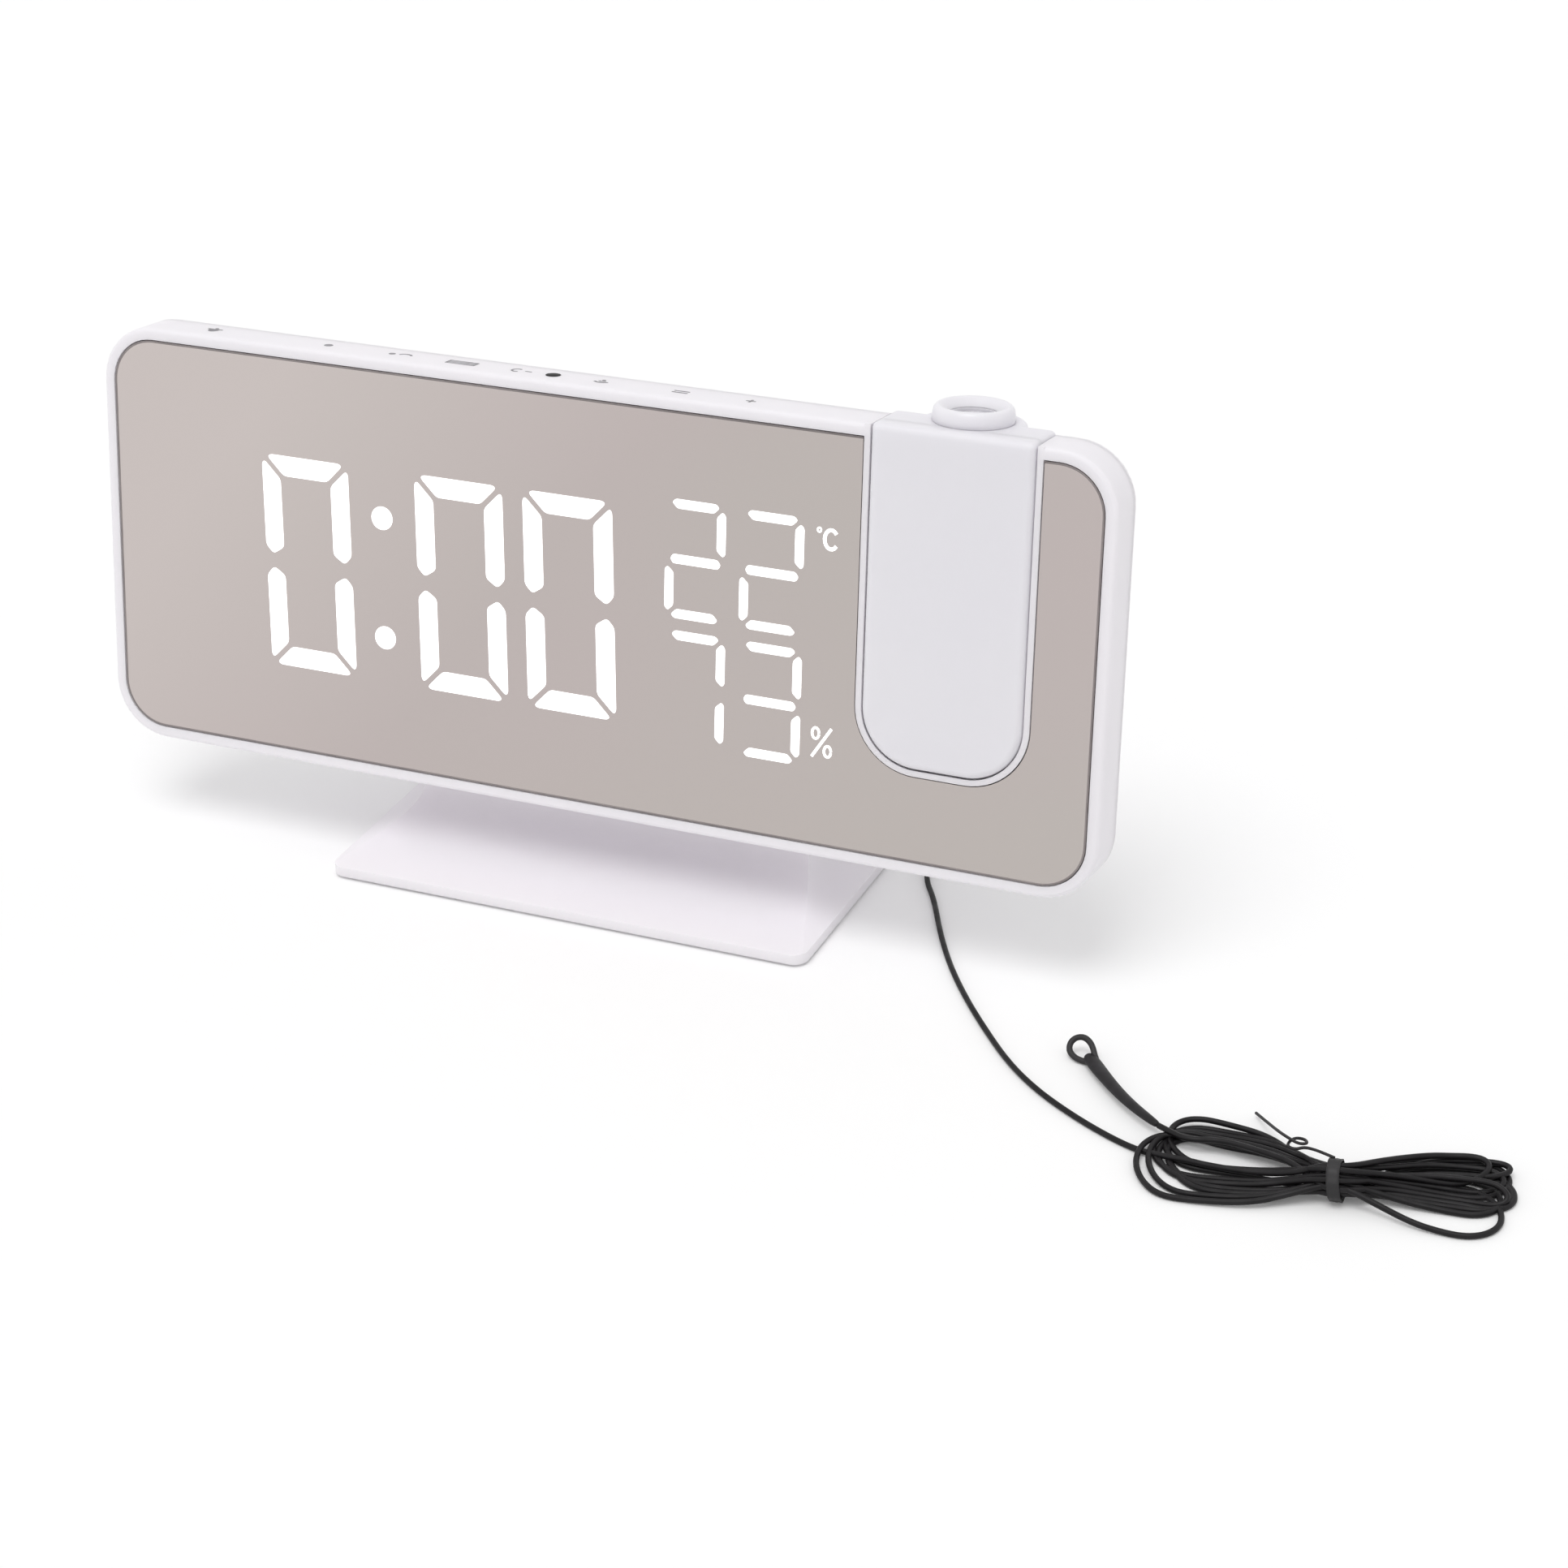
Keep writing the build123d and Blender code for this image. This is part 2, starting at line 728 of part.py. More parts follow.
recess_radius = door_radius + door_gap
groove_radius = recess_radius + door_lug
cup_radius = groove_radius + battery_wall
door_front = bulge_back - door_thickness
cell_back = door_front - door_gap
cell_front = cell_back - cell_thickness
contact_front = cell_front - contact_thickness
cup_front = contact_front - battery_wall
groove_back = door_front + door_lug_depth + door_gap
pocket_radius = cell_radius + battery_gap

# the screws that hold the stand run square to the underside of the bulge
neck_top_y = (neck_y - body_y - bulge_low * sin(lean_angle)) / cos(lean_angle)


def lug_ring(depth, thickness, radius, turned, spread, mode=Mode.ADD):
    """Two opposite sectors about the battery door's axis, turned from level."""
    with BuildSketch(at_depth(depth)) as profile:
        for side in (0, 180):
            start = turned + side - spread / 2
            with BuildLine(Plane.XY):
                rim = CenterArc((battery_x, battery_z), radius, start, spread)
                Polyline(rim @ 0, (battery_x, battery_z), rim @ 1)
            make_face()
    extrude(profile.sketch, amount=-thickness, mode=mode)


with BuildPart() as rear_cover:
    body_sketch_plate(frame_depth, rim_depth - frame_depth, body_width, body_height, body_corner)
    fillet(faces().sort_by(Axis.Y)[-1].edges(), cover_edge)
    body_sketch_plate(
        frame_depth, bulge_back - frame_depth, bulge_width, bulge_height, bulge_corner, x=bulge_x, z=bulge_z
    )
    fillet(faces().sort_by(Axis.Y)[-1].edges(), bulge_edge)
    # lip that locates the cover in the front frame
    body_sketch_plate(
        frame_depth - lip_depth, lip_depth, inner_width - 2 * lip_gap, inner_height - 2 * lip_gap,
        inner_corner - lip_gap,
    )
    body_sketch_plate(
        frame_depth - lip_depth, lip_depth, inner_width - 2 * (lip_gap + lip_wall),
        inner_height - 2 * (lip_gap + lip_wall), inner_corner - lip_gap - lip_wall, mode=Mode.SUBTRACT,
    )
    slot_prism(frame_depth - lip_depth, lip_depth, well_wall + lip_gap, mode=Mode.SUBTRACT)
    body_sketch_plate(
        frame_depth, bulge_inside - frame_depth, bulge_width - 2 * cover_wall, bulge_height - 2 * cover_wall,
        bulge_corner - cover_wall, x=bulge_x, z=bulge_z, mode=Mode.SUBTRACT,
    )
    # posts for the main board, seat ring for the speaker, cup for the coin cell
    for x, z in post_places:
        body_disc(board_back, bulge_inside - board_back, board_post_radius, x, z)
    body_disc(
        bulge_inside - speaker_seat_depth, speaker_seat_depth, speaker_radius + socket_gap + lip_wall,
        speaker_x, speaker_z,
    )
    body_disc(
        bulge_inside - speaker_seat_depth, speaker_seat_depth, speaker_radius + socket_gap,
        speaker_x, speaker_z, mode=Mode.SUBTRACT,
    )
    body_disc(cup_front, bulge_inside - cup_front, cup_radius, battery_x, battery_z)
    body_disc(
        contact_front, door_front - contact_front, pocket_radius, battery_x, battery_z, mode=Mode.SUBTRACT
    )
    body_disc(
        door_front - door_gap, door_thickness + door_gap, recess_radius, battery_x, battery_z,
        mode=Mode.SUBTRACT,
    )
    body_disc(
        door_front - door_gap, groove_back - door_front + door_gap, groove_radius, battery_x, battery_z,
        mode=Mode.SUBTRACT,
    )
    lug_ring(
        door_front - door_gap, door_thickness + door_gap, groove_radius, door_turn,
        door_lug_angle + notch_extra_angle, mode=Mode.SUBTRACT,
    )
    # bosses for the stand's screws
    for x in (-stand_screw_x, stand_screw_x):
        with BuildSketch(at_height(bulge_low)):
            with Locations((x, neck_top_y)):
                Circle(screw_boss_radius)
        extrude(amount=stand_screw_length)
        with BuildSketch(at_height(bulge_low)):
            with Locations((x, neck_top_y)):
                Circle(hole_radius)
        extrude(amount=stand_screw_length, mode=Mode.SUBTRACT)
    # holes: board posts, grille, sockets, buttons, case screws, vents, antenna
    for x, z in post_places:
        body_disc(board_back, board_screw_length, hole_radius, x, z, mode=Mode.SUBTRACT)
    for ring in range(1, grille_rings + 1):
        with BuildSketch(at_depth(bulge_inside)) as grille:
            with Locations((speaker_x, speaker_z)):
                with PolarLocations(ring * grille_pitch, 6 * ring):
                    Circle(grille_hole)
        extrude(amount=-cover_wall, mode=Mode.SUBTRACT)
    body_disc(bulge_inside, cover_wall, grille_hole, speaker_x, speaker_z, mode=Mode.SUBTRACT)
    body_disc(bulge_inside, cover_wall, dc_bore + dc_hole_margin, dc_x, dc_z, mode=Mode.SUBTRACT)
    body_sketch_plate(
        bulge_inside, cover_wall, usb_width + 2 * socket_gap, usb_height + 2 * socket_gap, usb_corner,
        x=usb_x, z=usb_z, mode=Mode.SUBTRACT,
    )
    for x in button_x:
        body_sketch_plate(
            frame_depth, rim_depth - frame_depth, button_width + 2 * button_gap,
            button_height + 2 * button_gap, button_corner + button_gap, x=x, z=button_z, mode=Mode.SUBTRACT,
        )
    for x, z in case_screw_places:
        body_disc(frame_depth, rim_depth - frame_depth, hole_radius, x, z, mode=Mode.SUBTRACT)
        body_disc(
            rim_depth - screw_head_length, screw_head_length, screw_head_radius + screw_head_play,
            x, z, mode=Mode.SUBTRACT,
        )
    for step in range(vent_count):
        body_sketch_plate(
            frame_depth, rim_depth - frame_depth, vent_length, vent_width, vent_width / 2 - vent_flat,
            x=climate_x, z=climate_z + (step - (vent_count - 1) / 2) * vent_pitch, mode=Mode.SUBTRACT,
        )
    bore_along_x(
        bulge_right - cover_wall, cover_wall, grommet_radius, grommet_y, grommet_z, mode=Mode.SUBTRACT
    )
    slot_prism(frame_depth, rim_depth - frame_depth, 0, mode=Mode.SUBTRACT)
    swing_pocket()
save(rear_cover, "rear_cover", body_place)


def screw_along_depth(seat, length, x, z, way):
    """Cross-head screw; the head bears on the seat and the shank runs rearward (way 1) or forward (-1)."""
    head_front = seat - screw_head_length if way > 0 else seat
    slot_front = head_front if way > 0 else head_front + screw_head_length - cross_depth
    body_disc(head_front, screw_head_length, screw_head_radius, x, z)
    body_disc(seat if way > 0 else seat - length, length, screw_radius, x, z)
    with BuildSketch(at_depth(slot_front)) as profile:
        with Locations((x, z)):
            Rectangle(cross_length, cross_width)
            Rectangle(cross_width, cross_length)
    extrude(profile.sketch, amount=-cross_depth, mode=Mode.SUBTRACT)


def level_disc(height, thickness, radius, x, y, mode=Mode.ADD):
    """Round plate or hole that stands upright from this height."""
    with BuildSketch(at_height(height)) as profile:
        with Locations((x, y)):
            Circle(radius)
    extrude(profile.sketch, amount=thickness, mode=mode)


def level_plate(height, thickness, width, depth, corner, x=0.0, y=0.0, mode=Mode.ADD):
    """Rounded plate that lies level, from this height upward."""
    with BuildSketch(at_height(height)) as profile:
        with Locations((x, y)):
            RectangleRounded(width, depth, corner)
    extrude(profile.sketch, amount=thickness, mode=mode)


def screw_upward(seat, length, x, y):
    """Cross-head screw whose head bears on the seat from below."""
    level_disc(seat - screw_head_length, screw_head_length, screw_head_radius, x, y)
    level_disc(seat, length, screw_radius, x, y)
    with BuildSketch(at_height(seat - screw_head_length)) as profile:
        with Locations((x, y)):
            Rectangle(cross_length, cross_width)
            Rectangle(cross_width, cross_length)
    extrude(profile.sketch, amount=cross_depth, mode=Mode.SUBTRACT)


# ---------------------------------------------------------------- case screws and sensors
with BuildPart() as case_screws:
    screw_seat = rim_depth - screw_head_length
    for x, z in case_screw_places:
        screw_along_depth(screw_seat, screw_seat - web_back - screw_tip_gap, x, z, -1)
save(case_screws, "case_screws", body_place)

with BuildPart() as light_sensor:
    level_disc(
        half_height - bezel_width - light_sensor_length, light_sensor_length, light_sensor_radius,
        light_hole_x, light_hole_y,
    )
save(light_sensor, "light_sensor", body_place)

with BuildPart() as climate_sensor:
    body_sketch_plate(
        web_back, board_thickness, climate_width, climate_height, board_corner, x=climate_x, z=climate_z
    )
    with Locations((climate_x, web_back + board_thickness + climate_chip_depth / 2, climate_z)):
        Box(climate_chip, climate_chip_depth, climate_chip)
save(climate_sensor, "climate_sensor", body_place)

# ---------------------------------------------------------------- main board
with BuildPart() as main_board:
    body_sketch_plate(
        main_board_depth, main_board_thickness, board_right - board_left, board_high - board_low,
        board_corner, x=bulge_x, z=bulge_z,
    )
    for x, z in post_places:
        body_disc(main_board_depth, main_board_thickness, hole_radius, x, z, mode=Mode.SUBTRACT)
save(main_board, "main_board", body_place)

with BuildPart() as board_components:
    for x, z, width, height, depth in board_chips:
        with Locations((x, board_back + depth / 2, z)):
            Box(width, depth, height)
    for x, z in capacitor_places:
        body_disc(board_back, capacitor_length, capacitor_radius, x, z)
save(board_components, "board_components", body_place)

header_front = block_back + board_thickness
with BuildPart() as board_header:
    with Locations((header_x, (header_front + main_board_depth) / 2, header_z)):
        Box(header_width, main_board_depth - header_front, header_height)
save(board_header, "board_header", body_place)

with BuildPart() as board_screws:
    board_screw_reach = main_board_thickness + board_screw_length - screw_tip_gap
    for x, z in post_places:
        screw_along_depth(main_board_depth, board_screw_reach, x, z, 1)
save(board_screws, "board_screws", body_place)

# ---------------------------------------------------------------- speaker
basket_front = bulge_inside - speaker_depth
cone_edge = bulge_inside - cone_clear
with BuildPart() as speaker_basket:
    body_disc(bulge_inside - speaker_rim, speaker_rim, speaker_radius, speaker_x, speaker_z)
    body_disc(
        basket_front + magnet_depth, speaker_depth - magnet_depth, cone_radius + cone_thickness,
        speaker_x, speaker_z,
    )
    body_disc(basket_front, magnet_depth, magnet_radius, speaker_x, speaker_z)
    body_disc(
        cone_edge - cone_height, cone_height + cone_clear, cone_radius, speaker_x, speaker_z,
        mode=Mode.SUBTRACT,
    )
save(speaker_basket, "speaker_basket", body_place)

with BuildPart() as speaker_cone:
    with BuildSketch(Plane.XY.offset(speaker_z)) as cone_profile:
        with BuildLine():
            Polyline(
                (speaker_x, cone_edge - cone_height),
                (speaker_x + cone_floor_radius, cone_edge - cone_height),
                (speaker_x + cone_radius, cone_edge - cone_thickness), (speaker_x + cone_radius, cone_edge),
                (speaker_x + cone_radius - cone_thickness, cone_edge),
                (speaker_x + cone_floor_radius, cone_edge - cone_height + cone_thickness),
                (speaker_x, cone_edge - cone_height + cone_thickness), close=True,
            )
        make_face()
    revolve(axis=Axis((speaker_x, 0, speaker_z), (0, 1, 0)))
save(speaker_cone, "speaker_cone", body_place)

# ---------------------------------------------------------------- battery
with BuildPart() as coin_cell:
    body_disc(cell_front, cell_thickness, cell_radius, battery_x, battery_z)
save(coin_cell, "coin_cell", body_place)

with BuildPart() as battery_contacts:
    body_disc(cell_front, cell_thickness, pocket_radius, battery_x, battery_z)
    body_disc(cell_front, cell_thickness, cell_radius, battery_x, battery_z, mode=Mode.SUBTRACT)
    with Locations((battery_x, (cell_front + cell_back) / 2, battery_z)):
        Box(contact_width, cell_thickness, 2 * pocket_radius, mode=Mode.INTERSECT)
    with Locations((battery_x, (contact_front + cell_front) / 2, battery_z)):
        Box(contact_length, contact_thickness, contact_width)
save(battery_contacts, "battery_contacts", body_place)

with BuildPart() as battery_cover:
    body_disc(door_front, door_thickness, door_radius, battery_x, battery_z)
    lug_ring(door_front, door_lug_depth, groove_radius - door_gap, 0, door_lug_angle)
    with Locations((battery_x, bulge_back - coin_slot_depth / 2, battery_z)):
        Box(coin_slot_length, coin_slot_depth, coin_slot_width, mode=Mode.SUBTRACT)
save(battery_cover, "battery_cover", body_place)

# ---------------------------------------------------------------- sockets
socket_face = bulge_inside + socket_reach
with BuildPart() as dc_socket:
    body_sketch_plate(board_back, bulge_inside - board_back, dc_body, dc_body, board_corner, x=dc_x, z=dc_z)
    body_disc(bulge_inside, socket_reach, dc_bore + dc_hole_margin - dc_collar_gap, dc_x, dc_z)
    body_disc(socket_face - dc_bore_length, dc_bore_length, dc_bore, dc_x, dc_z, mode=Mode.SUBTRACT)
    body_disc(socket_face - dc_bore_length, dc_bore_length - pin_recess, dc_pin, dc_x, dc_z)
save(dc_socket, "dc_socket", body_place)

with BuildPart() as usb_shell:
    body_sketch_plate(
        board_back, socket_face - board_back, usb_width, usb_height, usb_corner - socket_gap, x=usb_x, z=usb_z
    )
    body_sketch_plate(
        board_back + usb_floor, socket_face - board_back - usb_floor, usb_width - 2 * usb_skin,
        usb_height - 2 * usb_skin, usb_corner - socket_gap - usb_skin, x=usb_x, z=usb_z, mode=Mode.SUBTRACT,
    )
save(usb_shell, "usb_shell", body_place)

with BuildPart() as usb_tongue_piece:
    tongue_front = board_back + usb_floor
    with Locations((usb_x, (tongue_front + socket_face - pin_recess) / 2, usb_z)):
        Box(
            usb_width - 2 * (usb_skin + usb_tongue_side_gap), socket_face - pin_recess - tongue_front,
            usb_tongue,
        )
save(usb_tongue_piece, "usb_tongue", body_place)

# ---------------------------------------------------------------- projector arm
arm_inner_back = arm_back - arm_wall
arm_inner_front = arm_front + arm_wall
arm_screw_z = arm_foot + arm_screw_rise
arm_screw_places = [(arm_x - arm_screw_x, arm_screw_z), (arm_x + arm_screw_x, arm_screw_z)]
bore_radius = ridge_radius - arm_wall
skirt_radius = focus_bore + skirt_wall
barrel_bore = skirt_radius + running_gap
barrel_top = arm_top - arm_wall


def arm_prism(depth, thickness, inset, mode=Mode.ADD):
    """The arm's outline seen from the front, with rounded lower corners, drawn in by an inset."""
    low, high = arm_foot + inset, arm_top - inset
    with BuildSketch(at_depth(depth)) as profile:
        with Locations((arm_x, (low + high) / 2)):
            Rectangle(arm_width - 2 * inset, high - low)
        fillet(vertices().group_by(Axis.Y)[0], arm_corner - inset)
    extrude(profile.sketch, amount=-thickness, mode=mode)


with BuildPart() as arm_ridge:
    level_disc(ridge_foot_z, arm_top - ridge_foot_z, ridge_radius, arm_x, lens_axis_y)
    fillet(faces().sort_by(Axis.Z)[0].edges() + faces().sort_by(Axis.Z)[-1].edges(), ridge_edge)

with BuildPart() as arm_outline:
    arm_prism(arm_front, arm_thickness, 0)
    fillet(edges().filter_by(Axis.Y).group_by(Axis.Z)[-1], arm_top_corner)
    fillet(faces().sort_by(Axis.Y)[0].edges() + faces().sort_by(Axis.Y)[-1].edges(), arm_edge)
    add(arm_ridge.part)

with BuildPart() as arm_front_shell:
    add(arm_outline.part)
    split(bisect_by=at_depth(arm_split), keep=Keep.TOP)
    arm_prism(arm_inner_front, arm_split - arm_inner_front, arm_wall, mode=Mode.SUBTRACT)
    for x, z in arm_screw_places:
        body_disc(arm_inner_front, arm_boss_depth - arm_inner_front, screw_boss_radius, x, z)
        body_disc(arm_inner_front, arm_boss_depth - arm_inner_front, hole_radius, x, z, mode=Mode.SUBTRACT)
save(arm_front_shell, "arm_front_shell", body_place)

with BuildPart() as arm_rear_shell:
    add(arm_outline.part)
    split(bisect_by=at_depth(arm_split), keep=Keep.BOTTOM)
    arm_prism(arm_split, arm_inner_back - arm_split, arm_wall, mode=Mode.SUBTRACT)
    level_disc(
        ridge_foot_z + arm_wall, barrel_top - ridge_foot_z - arm_wall, bore_radius, arm_x, lens_axis_y,
        mode=Mode.SUBTRACT,
    )
    level_disc(ridge_foot_z, arm_wall, bore_radius, arm_x, lens_axis_y)
    level_disc(barrel_top, arm_wall, barrel_bore, arm_x, lens_axis_y, mode=Mode.SUBTRACT)
    for boss_start in (arm_x - arm_width / 2 + arm_wall, arm_x + arm_width / 2 - pin_engagement):
        bore_along_x(boss_start, pin_engagement - arm_wall, pin_boss_radius, pivot_y, pivot_z)
    bore_along_x(arm_x - arm_width / 2, arm_width, pin_radius, pivot_y, pivot_z, mode=Mode.SUBTRACT)
    for x, z in arm_screw_places:
        body_disc(arm_boss_depth, arm_inner_back - arm_boss_depth, screw_boss_radius, x, z)
        body_disc(arm_boss_depth, arm_back - arm_boss_depth, hole_radius, x, z, mode=Mode.SUBTRACT)
        body_disc(
            arm_back - screw_head_length, screw_head_length, screw_head_radius + screw_head_play, x, z,
            mode=Mode.SUBTRACT,
        )
save(arm_rear_shell, "arm_rear_shell", body_place)

with BuildPart() as arm_screws:
    arm_seat = arm_back - screw_head_length
    for x, z in arm_screw_places:
        screw_along_depth(arm_seat, arm_seat - arm_inner_front - screw_tip_gap, x, z, -1)
save(arm_screws, "arm_screws", body_place)

pin_length = boss_end + washer_thickness - arm_width / 2 + pin_engagement
with BuildPart() as hinge_pins:
    for side in (-1, 1):
        inner_end = arm_x + side * (arm_width / 2 - pin_engagement)
        outer_end = inner_end + side * pin_length
        bore_along_x(min(inner_end, outer_end), pin_length, pin_radius, pivot_y, pivot_z)
        head_start = outer_end if side > 0 else outer_end - pin_head_length
        bore_along_x(head_start, pin_head_length, pin_head_radius, pivot_y, pivot_z)
save(hinge_pins, "hinge_pins", body_place)

with BuildPart() as friction_washers:
    for washer_x in (arm_x - boss_end - washer_thickness, arm_x + boss_end):
        bore_along_x(washer_x, washer_thickness, pin_head_radius, pivot_y, pivot_z)
        bore_along_x(
            washer_x, washer_thickness, pin_radius + running_gap, pivot_y, pivot_z, mode=Mode.SUBTRACT
        )
save(friction_washers, "friction_washers", body_place)

# ---------------------------------------------------------------- optics, from the board up
led_foot = ridge_foot_z + arm_wall + board_thickness
barrel_foot = barrel_top - barrel_length
panel_foot = barrel_foot - panel_thickness
tube_radius = bore_radius - tube_gap
tube_bore = tube_radius - light_tube_wall


def dome(height, radius, rise):
    """Shallow round cap on the lens axis, from this height up, added to the piece being built."""
    cap_radius = (radius**2 + rise**2) / (2 * rise)
    with BuildSketch(Plane.XZ.offset(-lens_axis_y)) as profile:
        with BuildLine():
            cap = ThreePointArc(
                (arm_x, height + rise),
                (arm_x + radius / 2, height + rise - cap_radius + sqrt(cap_radius**2 - (radius / 2) ** 2)),
                (arm_x + radius, height),
            )
            Polyline(cap @ 1, (arm_x, height), cap @ 0)
        make_face()
    revolve(profile.sketch, axis=Axis((arm_x, lens_axis_y, 0), (0, 0, 1)))


with BuildPart() as projector_board:
    level_disc(ridge_foot_z + arm_wall, board_thickness, tube_radius, arm_x, lens_axis_y)
save(projector_board, "projector_board", body_place)

with BuildPart() as projector_led:
    with Locations((arm_x, lens_axis_y, led_foot + led_height / 2)):
        Box(led_side, led_side, led_height)
save(projector_led, "projector_led", body_place)

with BuildPart() as light_tube:
    level_disc(led_foot, panel_foot - led_foot, tube_radius, arm_x, lens_axis_y)
    level_disc(led_foot, panel_foot - led_foot, tube_bore, arm_x, lens_axis_y, mode=Mode.SUBTRACT)
save(light_tube, "light_tube", body_place)

with BuildPart() as condenser_lens:
    condenser_foot = panel_foot - condenser_drop - condenser_dome - condenser_edge
    level_disc(condenser_foot, condenser_edge, tube_bore, arm_x, lens_axis_y)
    dome(condenser_foot + condenser_edge, tube_bore, condenser_dome)
save(condenser_lens, "condenser_lens", body_place)

with BuildPart() as lcd_panel:
    level_plate(panel_foot, panel_thickness, panel_side, panel_side, board_corner, x=arm_x, y=lens_axis_y)
save(lcd_panel, "lcd_panel", body_place)

with BuildPart() as lens_barrel:
    level_disc(barrel_foot, barrel_length, barrel_bore + barrel_wall, arm_x, lens_axis_y)
    level_disc(barrel_foot, barrel_length, barrel_bore, arm_x, lens_axis_y, mode=Mode.SUBTRACT)
save(lens_barrel, "lens_barrel", body_place)

focus_foot = arm_top + focus_gap
focus_top = focus_foot + focus_height
cell_top = focus_top - cell_recess
with BuildPart() as focus_ring:
    level_disc(focus_foot, focus_height, focus_radius, arm_x, lens_axis_y)
    fillet(faces().sort_by(Axis.Z)[-1].edges(), focus_edge)
    level_disc(arm_top - focus_skirt, focus_foot - arm_top + focus_skirt, skirt_radius, arm_x, lens_axis_y)
    level_disc(
        arm_top - focus_skirt, focus_top - arm_top + focus_skirt, focus_bore, arm_x, lens_axis_y,
        mode=Mode.SUBTRACT,
    )
save(focus_ring, "focus_ring", body_place)

with BuildPart() as lens_cell:
    level_disc(cell_top - cell_length, cell_length, focus_bore, arm_x, lens_axis_y)
    level_disc(
        cell_top - cell_length, cell_length, focus_bore - cell_wall, arm_x, lens_axis_y,
        mode=Mode.SUBTRACT,
    )
save(lens_cell, "lens_cell", body_place)

with BuildPart() as projection_lens:
    lens_foot = cell_top - lens_drop - lens_thickness
    level_disc(lens_foot, lens_thickness, focus_bore - cell_wall, arm_x, lens_axis_y)
    dome(lens_foot + lens_thickness, focus_bore - cell_wall, lens_dome)
save(projection_lens, "projection_lens", body_place)

# ---------------------------------------------------------------- stand
lip_top = foot_reveal + lip_height
plate_top = foot_reveal + plate_thickness
stand_half_width = stand_width / 2
stand_half_depth = stand_depth / 2
neck_half = neck_depth / 2


def body_level(height):
    """Level plane of the leaning body, seen in the row frame."""
    return Plane(
        origin=(0, body_y + height * sin(lean_angle), body_z + height * cos(lean_angle)),
        x_dir=(1, 0, 0),
        z_dir=(0, sin(lean_angle), cos(lean_angle)),
    )


def flare(foot, neck):
    """Concave side of the stand, from the lip up to the neck."""
    return Bezier(
        (foot, lip_top),
        (foot + flare_reach * (neck - foot), lip_top + flare_rise),
        (neck, lip_top + flare_turn),
        (neck, flare_height),
    )


def flared_outline(plane, feet, necks, reach):
    """Slab with the stand's outline: two feet, two flares and the neck, extruded both ways."""
    with BuildSketch(plane) as profile:
        with BuildLine():
            near = flare(feet[0], necks[0])
            far = flare(feet[1], necks[1])
            Polyline(near @ 1, (necks[0], neck_reach), (necks[1], neck_reach), far @ 1)
            Polyline(near @ 0, (feet[0], foot_reveal), (feet[1], foot_reveal), far @ 0)
        make_face()
    extrude(profile.sketch, amount=reach, both=True)


with BuildPart() as stand_front_view:
    flared_outline(
        Plane.XZ, (-stand_half_width, stand_half_width), (-neck_width / 2, neck_width / 2), stand_depth
    )

with BuildPart() as stand_cavity:
    with BuildSketch(Plane.YZ) as cavity_profile:
        with BuildLine():
            front_wall = neck_y - neck_half + stand_wall
            rear_wall = neck_y + neck_half - stand_wall
            near_side = Bezier(
                (front_wall - cavity_foot, plate_top), (front_wall - stand_wall, plate_top + foot_reveal),
                (front_wall, plate_top + flare_turn), (front_wall, flare_height),
            )
            far_side = Bezier(
                (rear_wall + cavity_foot, plate_top), (rear_wall + stand_wall, plate_top + foot_reveal),
                (rear_wall, plate_top + flare_turn), (rear_wall, flare_height),
            )
            Polyline(near_side @ 1, (front_wall, neck_reach), (rear_wall, neck_reach), far_side @ 1)
            Line(near_side @ 0, far_side @ 0)
        make_face()
    extrude(amount=neck_width / 2 - stand_wall, both=True)
    split(bisect_by=body_level(bulge_low - neck_wall), keep=Keep.BOTTOM)
    for x in (-base_screw_x, base_screw_x):
        level_disc(plate_top, neck_reach, screw_boss_radius, x, neck_y, mode=Mode.SUBTRACT)

with BuildPart() as stand:
    flared_outline(
        Plane.YZ, (-stand_half_depth, stand_half_depth), (neck_y - neck_half, neck_y + neck_half), stand_width
    )
    add(stand_front_view.part, mode=Mode.INTERSECT)
    fillet(edges().filter_by(Axis.Z).group_by(Axis.Z)[0], stand_corner)
    split(bisect_by=body_level(bulge_low), keep=Keep.BOTTOM)
    add(stand_cavity.part, mode=Mode.SUBTRACT)
    level_plate(
        foot_reveal, plate_thickness, stand_width - 2 * plate_inset + 2 * plate_gap,
        stand_depth - 2 * plate_inset + 2 * plate_gap, plate_corner + plate_gap, mode=Mode.SUBTRACT,
    )
    for x in (-base_screw_x, base_screw_x):
        level_disc(plate_top, base_screw_length, hole_radius, x, neck_y, mode=Mode.SUBTRACT)
    for x in (-stand_screw_x, stand_screw_x):
        with BuildSketch(body_level(bulge_low)):
            with Locations((x, neck_top_y)):
                Circle(hole_radius)
        extrude(amount=-neck_wall, mode=Mode.SUBTRACT)
save(stand, "stand")

with BuildPart() as base_plate:
    level_plate(
        foot_reveal, plate_thickness, stand_width - 2 * plate_inset, stand_depth - 2 * plate_inset,
        plate_corner,
    )
    level_plate(
        foot_reveal, pad_thickness - foot_reveal, pad_width + 2 * plate_gap, pad_depth + 2 * plate_gap,
        pad_corner + plate_gap, mode=Mode.SUBTRACT,
    )
    for x in (-base_screw_x, base_screw_x):
        level_disc(foot_reveal, plate_thickness, hole_radius, x, neck_y, mode=Mode.SUBTRACT)
        level_disc(
            foot_reveal, screw_head_length, screw_head_radius + screw_head_play, x, neck_y, mode=Mode.SUBTRACT
        )
save(base_plate, "base_plate")

with BuildPart() as foot_pad:
    level_plate(0, pad_thickness, pad_width, pad_depth, pad_corner)
save(foot_pad, "foot_pad")

